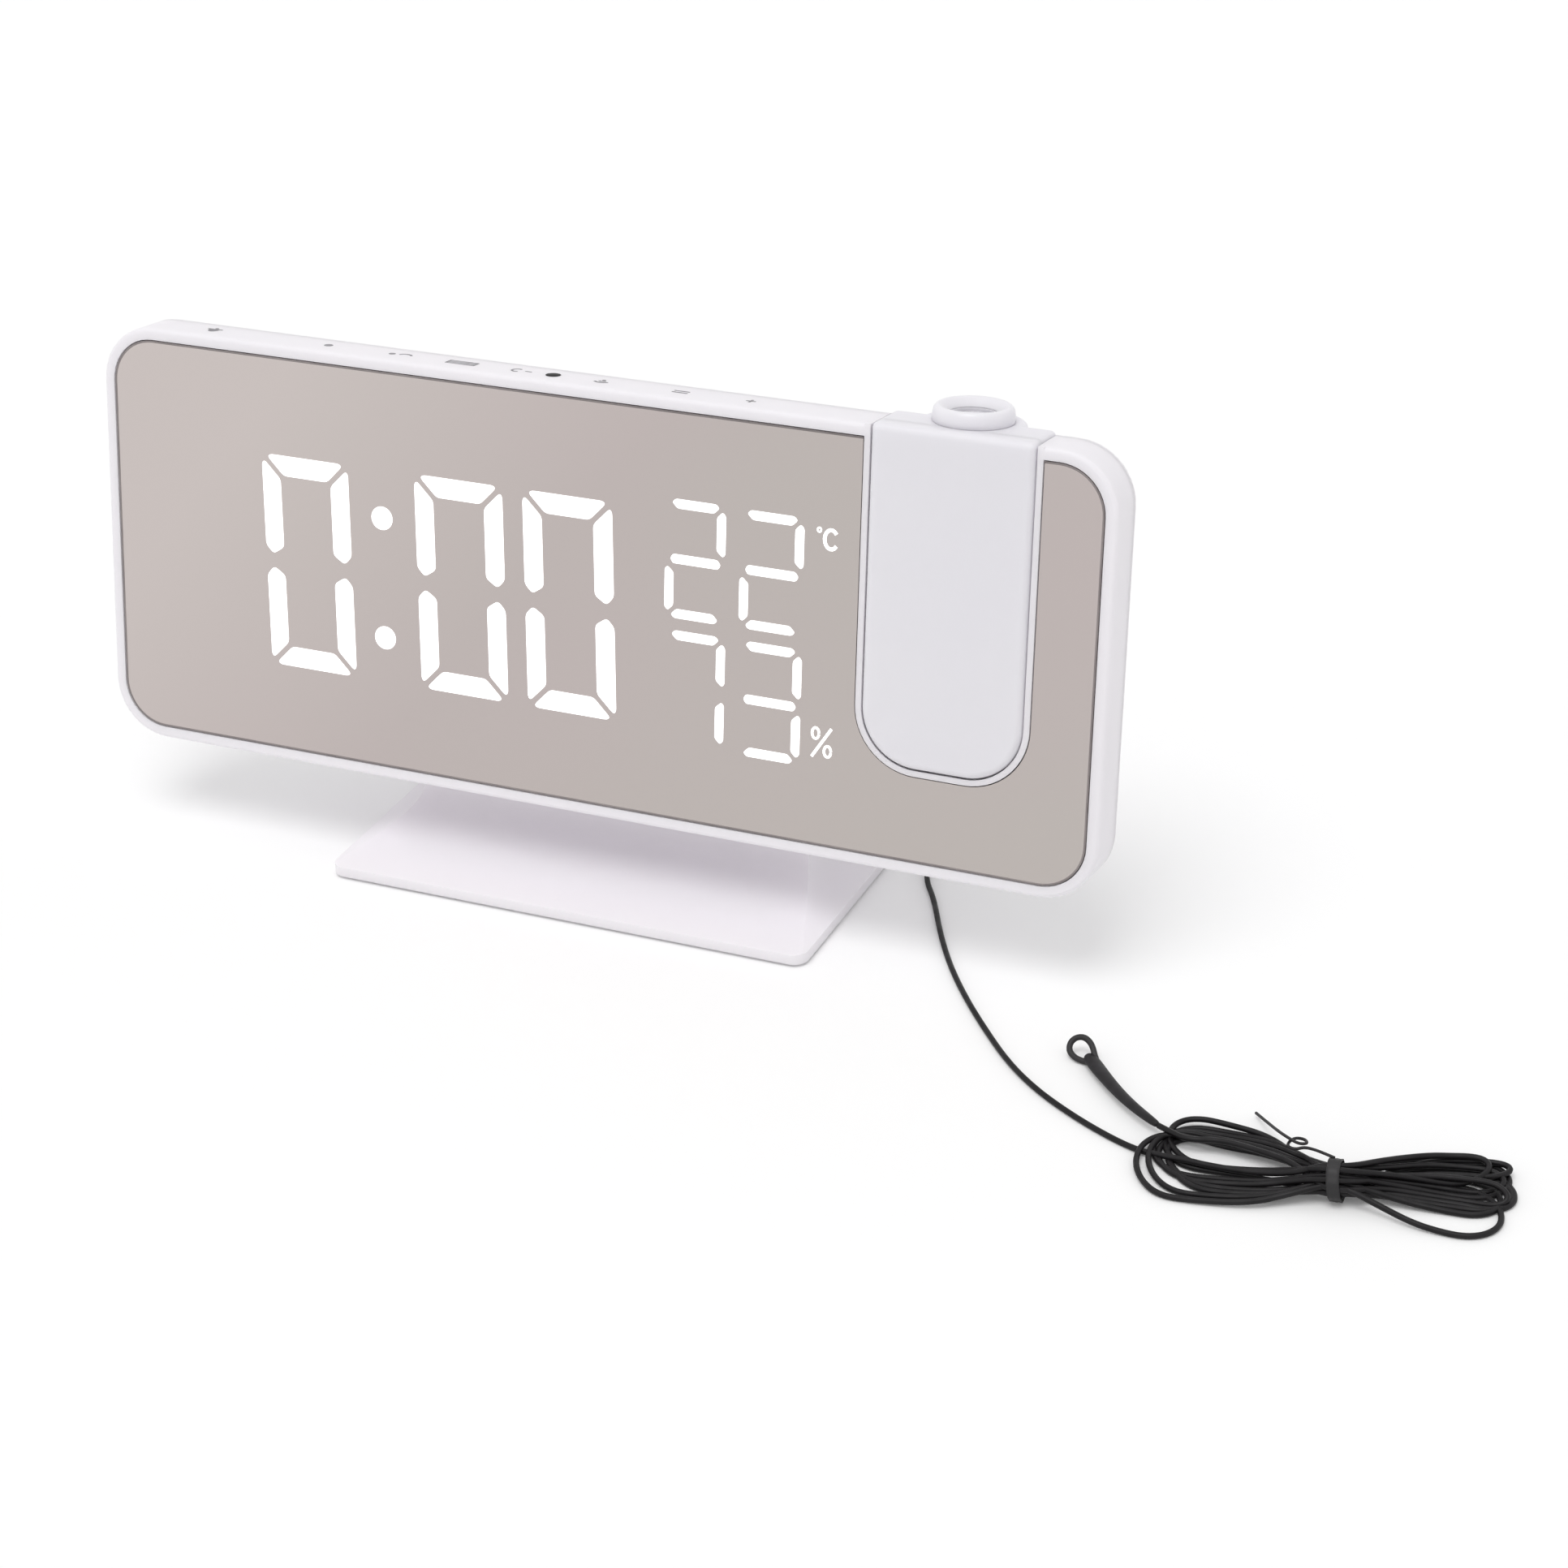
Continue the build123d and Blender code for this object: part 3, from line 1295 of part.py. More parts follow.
with BuildPart() as ballast_plate:
    with Locations((0, neck_y, plate_top + ballast_thickness / 2)):
        Box(ballast_width, ballast_depth, ballast_thickness)
save(ballast_plate, "ballast_plate")

with BuildPart() as base_screws:
    for x in (-base_screw_x, base_screw_x):
        screw_upward(foot_reveal + screw_head_length, base_screw_length, x, neck_y)
save(base_screws, "base_screws")

with BuildPart() as stand_screws:
    for x in (-stand_screw_x, stand_screw_x):
        screw_upward(bulge_low - neck_wall, stand_screw_length, x, neck_top_y)
save(stand_screws, "stand_screws", body_place)

# ---------------------------------------------------------------- antenna
wire_radius = wire_diameter / 2
grommet_face = bulge_right + grommet_flange_length
with BuildPart() as antenna_grommet:
    bore_along_x(bulge_right - cover_wall, cover_wall, grommet_radius, grommet_y, grommet_z)
    bore_along_x(bulge_right, grommet_flange_length, grommet_flange, grommet_y, grommet_z)
    bore_along_x(grommet_face, grommet_nose, grommet_nose_radius, grommet_y, grommet_z)
    bore_along_x(
        bulge_right - cover_wall - grommet_flange_length, grommet_flange_length, grommet_flange,
        grommet_y, grommet_z,
    )
    bore_along_x(grommet_face, grommet_nose, wire_radius, grommet_y, grommet_z, mode=Mode.SUBTRACT)
save(antenna_grommet, "antenna_grommet", body_place)


def bends(points):
    """Largest even bend radius at each inner point of a route."""
    sizes = []
    for before, here, after in zip(points, points[1:], points[2:]):
        inward, outward = Vector(*here) - Vector(*before), Vector(*after) - Vector(*here)
        half_turn = radians(inward.get_angle(outward)) / 2
        sizes.append(bend_share * min(inward.length, outward.length) / tan(half_turn))
    return sizes


def tube(points, radius):
    """Round cord along straight runs joined by tangent arcs, added to the piece being built."""
    with BuildLine() as route:
        FilletPolyline(*points, radius=bends(points))
    way = route.wires()[0]
    with BuildSketch(Plane(origin=way @ 0, z_dir=way % 0)) as section:
        Circle(radius)
    sweep(section.sketch, path=way)
    return way.length


grommet_row_y = body_y + grommet_y * cos(lean_angle) + grommet_z * sin(lean_angle)
grommet_row_z = body_z - grommet_y * sin(lean_angle) + grommet_z * cos(lean_angle)
lead_route = [
    (grommet_face, grommet_row_y, grommet_row_z),
    (lead_bend_x, grommet_row_y, grommet_row_z),
    *lead_drop,
    *[(x, y, wire_radius) for x, y in lead_floor],
    lead_end,
]
print("antenna lead bend radii", [round(size, 1) for size in bends(lead_route)])

with BuildPart() as antenna_lead:
    lead_length = tube(lead_route, wire_radius)
print("antenna lead length", round(lead_length, 1))
save(antenna_lead, "antenna_lead")

hank_turn = radians(hank_angle)
hank_way = Vector(cos(hank_turn), sin(hank_turn), 0)
hank_side = Vector(-sin(hank_turn), cos(hank_turn), 0)
hank_middle = Vector(*hank_tie, 0)


def hank_section(along, side_shift, height):
    """Upright plane across the hank, this far along it from the tie."""
    place = hank_middle + hank_way * along + hank_side * side_shift + Vector(0, 0, height)
    return Plane(origin=place, x_dir=hank_side, z_dir=hank_way)


with BuildPart() as antenna_hank:
    for along, half_wide, tall, side_shift, lift in hank_sections:
        with BuildSketch(hank_section(along, side_shift, lift + tall / 2)):
            Ellipse(half_wide, tall / 2)
    loft(ruled=True)
save(antenna_hank, "antenna_hank")

with BuildPart() as antenna_tail:
    tail_length = tube(tail_route, wire_radius)
print("antenna tail length", round(tail_length, 1))
save(antenna_tail, "antenna_tail")

eyelet_place = Vector(*eyelet_centre)
sleeve_end = Vector(*tail_route[-1])
sleeve_way = (sleeve_end - eyelet_place).normalized()
eyelet_axis = Vector(0, 0, 1).rotate(Axis((0, 0, 0), sleeve_way), eyelet_tilt)
with BuildPart() as antenna_eyelet:
    with BuildSketch(Plane(origin=eyelet_place + sleeve_way * eyelet_outer, z_dir=sleeve_way)):
        Circle(sleeve_start_radius)
    with BuildSketch(Plane(origin=sleeve_end, z_dir=sleeve_way)):
        Circle(sleeve_end_radius)
    loft()
    with BuildSketch(Plane(origin=eyelet_place, x_dir=sleeve_way, z_dir=eyelet_axis)) as eyelet_ring:
        Circle(eyelet_outer)
        Circle(eyelet_hole, mode=Mode.SUBTRACT)
    extrude(eyelet_ring.sketch, amount=eyelet_thickness / 2, both=True)
save(antenna_eyelet, "antenna_eyelet")

with BuildPart() as antenna_tie:
    tie_row = [row for row in hank_sections if abs(row[0]) <= tie_width]
    half_wide, tall, lift = tie_row[0][1], tie_row[0][2], tie_row[0][4]
    with BuildSketch(hank_section(-tie_width / 2, 0, lift + tall / 2)) as wrap:
        Ellipse(half_wide + tie_thickness, tall / 2 + tie_thickness)
        Ellipse(half_wide, tall / 2, mode=Mode.SUBTRACT)
    extrude(wrap.sketch, amount=tie_width)
    tube(tie_tail, tie_tail_radius)
save(antenna_tie, "antenna_tie")
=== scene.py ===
"""Looks of the projection alarm clock: camera, antenna wire, lit digits, marks, materials and light."""
import math

import bmesh
import bpy
from mathutils import Matrix, Vector


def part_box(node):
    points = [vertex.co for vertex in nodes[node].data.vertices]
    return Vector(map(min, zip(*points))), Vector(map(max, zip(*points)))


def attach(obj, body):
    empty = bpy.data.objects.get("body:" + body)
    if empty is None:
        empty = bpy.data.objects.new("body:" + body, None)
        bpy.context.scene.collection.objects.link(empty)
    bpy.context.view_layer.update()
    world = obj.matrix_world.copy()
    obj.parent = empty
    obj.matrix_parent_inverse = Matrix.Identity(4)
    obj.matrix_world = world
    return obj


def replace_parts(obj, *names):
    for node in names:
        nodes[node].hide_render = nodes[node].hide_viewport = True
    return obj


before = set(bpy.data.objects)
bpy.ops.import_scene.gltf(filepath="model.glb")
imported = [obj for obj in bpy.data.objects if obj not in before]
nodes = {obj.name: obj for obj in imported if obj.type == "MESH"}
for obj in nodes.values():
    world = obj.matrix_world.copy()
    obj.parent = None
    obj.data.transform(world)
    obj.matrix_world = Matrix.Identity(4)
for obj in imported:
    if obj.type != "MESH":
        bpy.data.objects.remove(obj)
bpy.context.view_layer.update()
scene = bpy.context.scene

MM = 0.001

# The body's own axes: x to the right, y from the mirror to the rear, z up the leaning face, in millimetres
LEAN = math.radians(9.5)
BODY_MIDDLE = (0, -14.66, 52.99)
BODY = Matrix.Translation(BODY_MIDDLE) @ Matrix.Rotation(-LEAN, 4, "X")
TOP_EDGE = 37.2           # height of the top edge
MARK_LINE = 4.4           # depth of the line on which the marks and the light hole lie


def on_body(x, y, z):
    """A place in the body's axes, turned into the row frame and into metres."""
    return (BODY @ Vector((x, y, z))) * MM


def middle_x(node):
    """Where a CAD node's middle lies from left to right, in millimetres."""
    low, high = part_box(node)
    return (low.x + high.x) / 2 / MM


# Camera at the photograph's viewing angle: lengths in metres, its sensor and lens in millimetres

CAMERA_PLACE = (0.25816, -0.48262, 0.30602)
CAMERA_RIGHT = Vector((0.9121, 0.4077, -0.0419))
CAMERA_UP = Vector((-0.1610, 0.4501, 0.8783))
CAMERA_SENSOR = 36
FOCAL_LENGTH = 81.24
NEAREST_SEEN = 0.01
FARTHEST_SEEN = 50


def make_camera():
    backward = CAMERA_RIGHT.cross(CAMERA_UP).normalized()
    right = CAMERA_UP.cross(backward).normalized()
    turn = Matrix((right, CAMERA_UP, backward)).transposed().to_4x4()
    lens = bpy.data.cameras.new("camera")
    lens.sensor_width = CAMERA_SENSOR
    lens.lens = FOCAL_LENGTH
    lens.clip_start = NEAREST_SEEN
    lens.clip_end = FARTHEST_SEEN
    camera = bpy.data.objects.new("camera", lens)
    camera.matrix_world = Matrix.Translation(CAMERA_PLACE) @ turn
    scene.collection.objects.link(camera)
    scene.camera = camera


make_camera()


# Shapes

def equal_turns(steps):
    """A full circle in that many steps, in radians."""
    return [2 * math.pi * step / steps for step in range(steps)]


def data_from(name, mesh):
    """Mesh data from a bmesh, with its faces turned outwards."""
    bmesh.ops.recalc_face_normals(mesh, faces=mesh.faces)
    data = bpy.data.meshes.new(name)
    mesh.to_mesh(data)
    mesh.free()
    return data


def join_rings(mesh, first, second):
    for index in range(len(first)):
        mesh.faces.new((first[index - 1], second[index - 1], second[index], first[index]))


def ringed_mesh(name, rings, closed=False):
    """A smooth skin over rings of points, each ring as long as the next, with its ends capped or joined."""
    mesh = bmesh.new()
    made = [[mesh.verts.new(Vector(place) * MM) for place in ring] for ring in rings]
    pairs = list(zip(made, made[1:]))
    if closed:
        pairs.append((made[-1], made[0]))
    else:
        mesh.faces.new(made[0])
        mesh.faces.new(list(reversed(made[-1])))
    for first, second in pairs:
        join_rings(mesh, first, second)
    data = data_from(name, mesh)
    for polygon in data.polygons:
        polygon.use_smooth = True
    return data


def lathe(name, profile, x, depth, steps, closed=False):
    """A body of revolution about an upright axis of the clock's body. profile gives radius and height."""
    rings = []
    for radius, height in profile:
        rings.append([
            on_body(x + radius * math.cos(turn), depth + radius * math.sin(turn), height) / MM
            for turn in equal_turns(steps)
        ])
    return ringed_mesh(name, rings, closed)


def flat_plates(name, outlines, place, thickness):
    """Thin plates with these outlines. place turns an outline's point and a depth into the row frame."""
    mesh = bmesh.new()
    for outline in outlines:
        front = [mesh.verts.new(place(x, z, 0)) for x, z in outline]
        back = [mesh.verts.new(place(x, z, thickness)) for x, z in outline]
        mesh.faces.new(front)
        mesh.faces.new(list(reversed(back)))
        join_rings(mesh, front, back)
    return data_from(name, mesh)


def spline_curve(name, points, radius):
    """A round wire along one smooth spline."""
    curve = bpy.data.curves.new(name, "CURVE")
    curve.dimensions = "3D"
    spline = curve.splines.new("NURBS")
    spline.points.add(len(points) - 1)
    for point, place in zip(spline.points, points):
        point.co = (*(Vector(place) * MM), 1)
    spline.order_u = 3
    spline.use_endpoint_u = True
    spline.resolution_u = 6
    curve.bevel_depth = radius * MM
    curve.bevel_resolution = 3
    curve.use_fill_caps = True
    return curve


def disc_outline(x, z, radius, steps=28):
    return [(x + radius * math.cos(turn), z + radius * math.sin(turn)) for turn in equal_turns(steps)]


def arc(x, z, wide, tall, start, end, steps=14):
    """Points along part of an oval, from one angle to another in degrees."""
    turns = [math.radians(start + (end - start) * step / steps) for step in range(steps + 1)]
    return [(x + wide * math.cos(turn), z + tall * math.sin(turn)) for turn in turns]


def stroke(points, width):
    """A ribbon along an open line, square at its ends."""
    line = [Vector(point) for point in points]
    last = len(line) - 1
    sides = []
    for index, point in enumerate(line):
        way = (line[min(index + 1, last)] - line[max(index - 1, 0)]).normalized()
        sides.append((point, Vector((-way.y, way.x)) * width / 2))
    return [point + out for point, out in sides] + [point - out for point, out in reversed(sides)]


# Materials

WHITE = (1, 1, 1, 1)
BLACK = (0, 0, 0, 1)
# Light that soaks a little way into the white plastics
MILKY = {"Subsurface_Weight": 0.4, "Subsurface_Scale": 0.0025, "Subsurface_Radius": (1, 1, 1)}


def colour(red, green, blue):
    """A screen colour, 0 to 255, as a shader takes it."""
    def linear(level):
        share = level / 255
        return share / 12.92 if share <= 0.04045 else ((share + 0.055) / 1.055) ** 2.4
    return (linear(red), linear(green), linear(blue), 1)


class Finish:
    """One procedural material: a shader with its own constants, and detail that its nodes add."""

    def __init__(self, name, base, roughness, **sockets):
        self.material = bpy.data.materials.new(name)
        self.material.use_nodes = True
        self.tree = self.material.node_tree
        self.shader = self.tree.nodes["Principled BSDF"]
        self.shader.inputs["Base Color"].default_value = base
        self.shader.inputs["Roughness"].default_value = roughness
        for socket, value in sockets.items():
            self.shader.inputs[socket.replace("_", " ")].default_value = value

    def node(self, kind, **settings):
        made = self.tree.nodes.new(kind)
        for key, value in settings.items():
            if key in made.inputs:
                made.inputs[key].default_value = value
            else:
                setattr(made, key, value)
        return made

    def link(self, source, target):
        self.tree.links.new(source, target)

    def place(self, stretch=(1, 1, 1)):
        """Object coordinates, stretched."""
        where = self.node("ShaderNodeTexCoord")
        mapping = self.node("ShaderNodeMapping", Scale=stretch)
        self.link(where.outputs["Object"], mapping.inputs["Vector"])
        return mapping.outputs["Vector"]

    def noise(self, scale, detail, stretch=(1, 1, 1)):
        made = self.node("ShaderNodeTexNoise", Scale=scale, Detail=detail)
        self.link(self.place(stretch), made.inputs["Vector"])
        return made.outputs["Fac"]

    def ramp(self, source, low, high, first=0, last=1):
        """Goes from first to last while the source goes from low to high."""
        made = self.node("ShaderNodeMapRange")
        for socket, value in (("From Min", low), ("From Max", high), ("To Min", first), ("To Max", last)):
            made.inputs[socket].default_value = value
        self.link(source, made.inputs["Value"])
        return made.outputs["Result"]

    def tint(self, source, other, socket="Base Color"):
        """Lets a colour of the shader go over to another where the source is 1."""
        target = self.shader.inputs[socket]
        mix = self.node("ShaderNodeMix", data_type="RGBA")
        mix.inputs["A"].default_value = target.default_value
        mix.inputs["B"].default_value = other
        if target.is_linked:
            self.link(target.links[0].from_socket, mix.inputs["A"])
        self.link(source, mix.inputs["Factor"])
        self.link(mix.outputs["Result"], target)
        return self

    def mottle(self, other, scale, detail, low, high, socket="Base Color"):
        """Patches of another colour, where noise of this scale rises from low to high."""
        return self.tint(self.ramp(self.noise(scale, detail), low, high), other, socket)

    def relief(self, source, height, strength):
        bump = self.node("ShaderNodeBump", Strength=strength, Distance=height)
        self.link(source, bump.inputs["Height"])
        self.link(bump.outputs["Normal"], self.shader.inputs["Normal"])
        return self

    def gloss(self, source, smoothest, roughest):
        """Roughness that wanders between two values with the source."""
        wander = self.ramp(source, low=0.3, high=0.7, first=smoothest, last=roughest)
        self.link(wander, self.shader.inputs["Roughness"])
        return self


def shell_plastic(name, base, other, roughness=0.45):
    """Injection-moulded shell: fine spark-eroded skin, faint unevenness of colour and gloss."""
    finish = Finish(name, base, roughness, Specular_IOR_Level=0.4, **MILKY)
    finish.relief(finish.noise(scale=2600, detail=2), height=0.00003, strength=0.35)
    finish.gloss(finish.noise(scale=160, detail=2), roughness - 0.05, roughness + 0.06)
    return finish.mottle(other, scale=28, detail=2, low=0.35, high=0.7).material


def mirror_glass():
    """Half-silvered acrylic: a warm grey mirror with a faint clouding of its coat, and a painted reflection
    that makes it paler towards the upper left.
    """
    finish = Finish("mirror_coat", colour(189, 179, 177), 0.1, Metallic=1.0)
    finish.gloss(finish.noise(scale=24, detail=2), 0.08, 0.14)
    finish.mottle(colour(187, 180, 176), scale=16, detail=1, low=0.35, high=0.65)
    # painted reflection: the mirror's colour grows paler towards the upper left
    slope = finish.node("ShaderNodeVectorMath", operation="DOT_PRODUCT")
    finish.link(finish.place(), slope.inputs[0])
    slope.inputs[1].default_value = (1, 0, -0.8)
    painted_reflection = finish.ramp(slope.outputs["Value"], low=-0.055, high=-0.125)
    return finish.tint(painted_reflection, colour(200, 191, 188)).material


def lit_plastic():
    """Diffuser lit from behind by its chips."""
    finish = Finish("lit_segment", colour(250, 250, 250), 0.6, Emission_Color=WHITE, Emission_Strength=1.0)
    cooler = (0.93, 0.95, 0.97, 1)
    return finish.mottle(cooler, scale=420, detail=1, low=0.5, high=0.8, socket="Emission Color").material


def dull_plastic(name, base, other, roughness=0.55, grain=1500):
    """Plain plastic or rubber with a fine grain."""
    finish = Finish(name, base, roughness)
    finish.relief(finish.noise(scale=grain, detail=3), height=0.00004, strength=0.4)
    return finish.mottle(other, scale=220, detail=3, low=0.4, high=0.65).material


def circuit_board():
    """Green solder mask over copper runs, in a brick pattern of fine lines."""
    finish = Finish("circuit_board", colour(24, 92, 52), 0.32, Coat_Weight=0.5, Coat_Roughness=0.2)
    between = (0.35, 0.35, 0.35, 1)
    runs = finish.node("ShaderNodeTexBrick", Scale=260.0, Color1=BLACK, Color2=between, Mortar=WHITE)
    runs.inputs["Mortar Size"].default_value = 0.03
    finish.link(finish.place(), runs.inputs["Vector"])
    level = finish.node("ShaderNodeRGBToBW")
    finish.link(runs.outputs["Color"], level.inputs["Color"])
    finish.relief(level.outputs["Val"], height=0.00004, strength=0.5)
    return finish.tint(level.outputs["Val"], colour(52, 128, 70)).material


def metal(name, base, other, roughness, grain=(1, 1, 1)):
    """Worn bright metal, with streaks along its grain."""
    finish = Finish(name, base, roughness, Metallic=1.0)
    streaks = finish.noise(scale=900, detail=4, stretch=grain)
    finish.relief(streaks, height=0.00001, strength=0.3)
    finish.gloss(streaks, roughness - 0.08, roughness + 0.1)
    return finish.mottle(other, scale=120, detail=3, low=0.35, high=0.7).material


def paper_cone():
    """Pressed grey paper with its fibres."""
    finish = Finish("speaker_paper", colour(46, 45, 46), 0.85, Sheen_Weight=0.3, Sheen_Roughness=0.5)
    fibres = finish.noise(scale=1400, detail=6, stretch=(1, 4, 1))
    finish.relief(fibres, height=0.00008, strength=0.6)
    return finish.tint(finish.ramp(fibres, low=0.45, high=0.65), colour(74, 72, 70)).material


def clear_glass():
    """Clear condenser lens."""
    finish = Finish("clear_lens", colour(244, 244, 248), 0.02, IOR=1.5, Transmission_Weight=1.0)
    return finish.mottle(colour(236, 232, 244), scale=60, detail=1, low=0.4, high=0.7).material


def lens_glass():
    """Coated front lens: pale lilac bloom over a clear element."""
    finish = Finish("coated_lens", colour(205, 201, 212), 0.06, IOR=1.5, Transmission_Weight=0.12,
                    Coat_Weight=1.0, Coat_Roughness=0.03)
    return finish.mottle(colour(212, 209, 216), scale=90, detail=1, low=0.4, high=0.6).material


def lcd_glass():
    """Dark panel with its grid of dots under a glossy cover."""
    finish = Finish("lcd_glass", colour(44, 48, 54), 0.12, Coat_Weight=1.0, Coat_Roughness=0.05)
    grid = finish.node("ShaderNodeTexChecker", Scale=4000.0)
    finish.link(finish.place(), grid.inputs["Vector"])
    return finish.tint(grid.outputs["Fac"], colour(58, 62, 70)).material


def frosted_ring():
    """Milky plastic of the focus ring."""
    finish = Finish("focus_ring", colour(238, 236, 241), 0.34, **MILKY)
    finish.relief(finish.noise(scale=1800, detail=2), height=0.00002, strength=0.3)
    return finish.mottle(colour(234, 232, 238), scale=120, detail=2, low=0.4, high=0.7).material


def wire_cover():
    """Soft black PVC with a dusty, slightly uneven skin."""
    finish = Finish("wire_cover", colour(17, 15, 17), 0.5, Specular_IOR_Level=0.25)
    finish.relief(finish.noise(scale=1500, detail=3), height=0.00004, strength=0.35)
    finish.gloss(finish.noise(scale=500, detail=2), 0.38, 0.56)
    return finish.mottle(colour(28, 26, 28), scale=260, detail=3, low=0.4, high=0.7).material


def sleeve_skin():
    """Heat-shrunk sleeve that shows the two strands under it."""
    finish = Finish("shrink_sleeve", colour(22, 20, 22), 0.5, Specular_IOR_Level=0.3)
    strands = finish.noise(scale=260, detail=2)
    finish.relief(strands, height=0.00025, strength=0.5)
    return finish.tint(finish.ramp(strands, low=0.4, high=0.65), colour(36, 34, 37)).material


def foam(name, base, other):
    """Closed-cell foam."""
    finish = Finish(name, base, 0.9)
    cells = finish.node("ShaderNodeTexVoronoi", Scale=1500.0)
    finish.link(finish.place(), cells.inputs["Vector"])
    finish.relief(cells.outputs["Distance"], height=0.0001, strength=0.7)
    return finish.tint(finish.ramp(cells.outputs["Distance"], low=0.1, high=0.6), other).material


def make_finishes():
    """Every material, by the name that the tables below use."""
    return {
        "shell": shell_plastic("white_shell", colour(244, 240, 245), colour(241, 238, 243)),
        "button": shell_plastic("white_button", colour(241, 240, 242), colour(238, 237, 241), 0.38),
        "arm": shell_plastic("arm_shell", colour(235, 233, 238), colour(233, 231, 237), 0.4),
        "stand": shell_plastic("stand_shell", colour(246, 242, 247), colour(244, 240, 245), 0.42),
        "base": shell_plastic("base_plastic", colour(232, 231, 234), colour(228, 227, 231), 0.5),
        "ring": frosted_ring(),
        "mirror": mirror_glass(),
        # painted shade: dark grey of the strip that stands for the shadow in the gap round the mirror
        "painted_gap_shade": dull_plastic("painted_gap_shade", colour(134, 126, 126), colour(146, 138, 137), 0.4),
        "lit": lit_plastic(),
        "diffuser": dull_plastic("diffuser", colour(232, 233, 230), colour(222, 224, 222), 0.6),
        "dark": dull_plastic("dark_plastic", colour(34, 34, 36), colour(42, 42, 44)),
        "tape": foam("tape_foam", colour(30, 30, 31), colour(44, 44, 45)),
        "foot": foam("foot_pad", colour(196, 196, 198), colour(176, 176, 179)),
        "board": circuit_board(),
        "led": dull_plastic("led_chip", colour(238, 224, 140), colour(246, 238, 190), 0.3),
        "component": dull_plastic("component_epoxy", colour(28, 28, 30), colour(40, 40, 43), 0.5, 2400),
        "header": dull_plastic("header_nylon", colour(226, 224, 214), colour(218, 216, 204), 0.5),
        "socket": dull_plastic("socket", colour(32, 32, 34), colour(42, 42, 44), 0.4),
        "usb_core": dull_plastic("usb_core", colour(30, 30, 32), colour(38, 38, 41), 0.45),
        # near black: the sensor's dark window, and painted shade of the hole in the top edge
        "sensor": dull_plastic("sensor_window_and_hole_shade", colour(4, 4, 5), colour(8, 7, 9), 0.75),
        "print": dull_plastic("printed_mark", colour(128, 126, 130), colour(158, 156, 160), 0.6),
        "paper": paper_cone(),
        "steel": metal("steel", colour(176, 177, 180), colour(160, 161, 165), 0.32, (1, 1, 6)),
        "nickel": metal("nickel", colour(206, 202, 194), colour(190, 186, 178), 0.24),
        "washer": dull_plastic("washer_nylon", colour(60, 58, 56), colour(74, 72, 70), 0.5),
        "glass": clear_glass(),
        "lens": lens_glass(),
        "lcd": lcd_glass(),
        "wire": wire_cover(),
        "sleeve": sleeve_skin(),
        "fitting": dull_plastic("wire_fitting", colour(22, 20, 22), colour(32, 30, 32), 0.55, 1200),
        "grommet": dull_plastic("grommet", colour(40, 39, 41), colour(50, 49, 51), 0.55, 1200),
    }


finishes = make_finishes()

# from left to right
BUTTONS = ("alarm_button", "mode_button", "set_button", "minus_button", "plus_button", "snooze_button",
           "radio_button", "projector_button")
FINISH_NODES = {
    "shell": ("front_frame", "rear_cover", "battery_cover"),
    "button": BUTTONS,
    "arm": ("arm_front_shell", "arm_rear_shell"),
    "stand": ("stand",),
    "base": ("base_plate",),
    "ring": ("focus_ring", "lens_cell"),
    "mirror": ("mirror_panel",),
    "diffuser": ("display_segments",),
    "dark": ("display_block", "light_tube", "lens_barrel"),
    "tape": ("mirror_tape",),
    "foot": ("foot_pad",),
    "board": ("display_board", "button_board", "main_board", "projector_board"),
    "led": ("display_leds", "projector_led"),
    "component": ("button_switches", "light_sensor", "board_components"),
    "header": ("climate_sensor", "board_header"),
    "socket": ("dc_socket",),
    "usb_core": ("usb_tongue",),
    "paper": ("speaker_cone",),
    "steel": ("case_screws", "board_screws", "arm_screws", "base_screws", "stand_screws", "hinge_pins",
              "speaker_basket", "coin_cell", "ballast_plate"),
    "nickel": ("battery_contacts", "usb_shell"),
    "washer": ("friction_washers",),
    "glass": ("condenser_lens",),
    "lens": ("projection_lens",),
    "lcd": ("lcd_panel",),
    "wire": ("antenna_lead", "antenna_hank", "antenna_tail"),
    "fitting": ("antenna_eyelet", "antenna_tie"),
    "grommet": ("antenna_grommet",),
}


def dress_nodes():
    """Gives every CAD node its finish, on the object and not on its mesh."""
    for finish, names in FINISH_NODES.items():
        for name in names:
            for slot in nodes[name].material_slots:
                slot.link = "OBJECT"
                slot.material = finishes[finish]


def add_piece(data, finish, body="clock_body"):
    """A new piece with its data's name, which rides on a body and takes a material slot with the finish."""
    piece = bpy.data.objects.new(data.name, data)
    scene.collection.objects.link(piece)
    data.materials.append(finishes[finish])
    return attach(piece, body)


dress_nodes()


# Antenna wire: lead, tied hank and tail are one wire

# In metres
# In millimetres, as all that follows
WIRE_DIAMETER = 0.95
LEAD = (
    (46.8, 0.861, 30.62), (53.6, 0.861, 30.62), (57.2, 3.8, 24.0), (56.8, 8.6, 15.8), (53.0, 12.6, 6.4),
    (52.0, 9.6, 1.9), (53.2, 4.2, 0.475), (57.3, -1.9, 0.475), (62.4, -11.9, 0.475), (67.8, -21.0, 0.475),
    (74.1, -29.7, 0.475), (80.9, -37.9, 0.475), (87.3, -45.0, 0.475), (93.8, -50.5, 0.475),
    (100.6, -54.8, 0.475), (107.8, -58.5, 0.475), (114.1, -60.9, 0.475), (118.6, -61.8, 1.1),
    (122.8, -62.2, 1.5),
)
TAIL = ((121.4, -58.2, 2.4), (118.6, -57.0, 2.1), (115.7, -55.5, 1.9))

# The hank lies along its own line through the tie. Its points are given along it, across it and in height.
HANK_TIE = (145.3, -61.8)
HANK_ANGLE = math.radians(7)
HANK_START = ((-19.5, 1.8, 1.5), (-13, 1.2, 1.7), (-6.5, 0.5, 3.0))
HANK_FINISH = ((-6.5, 2.6, 3.4), (-12, 5.6, 2.7), (-18.5, 7.6, 2.4))
TIE_HEIGHT = 3.3
TIE_HALF = 1.6
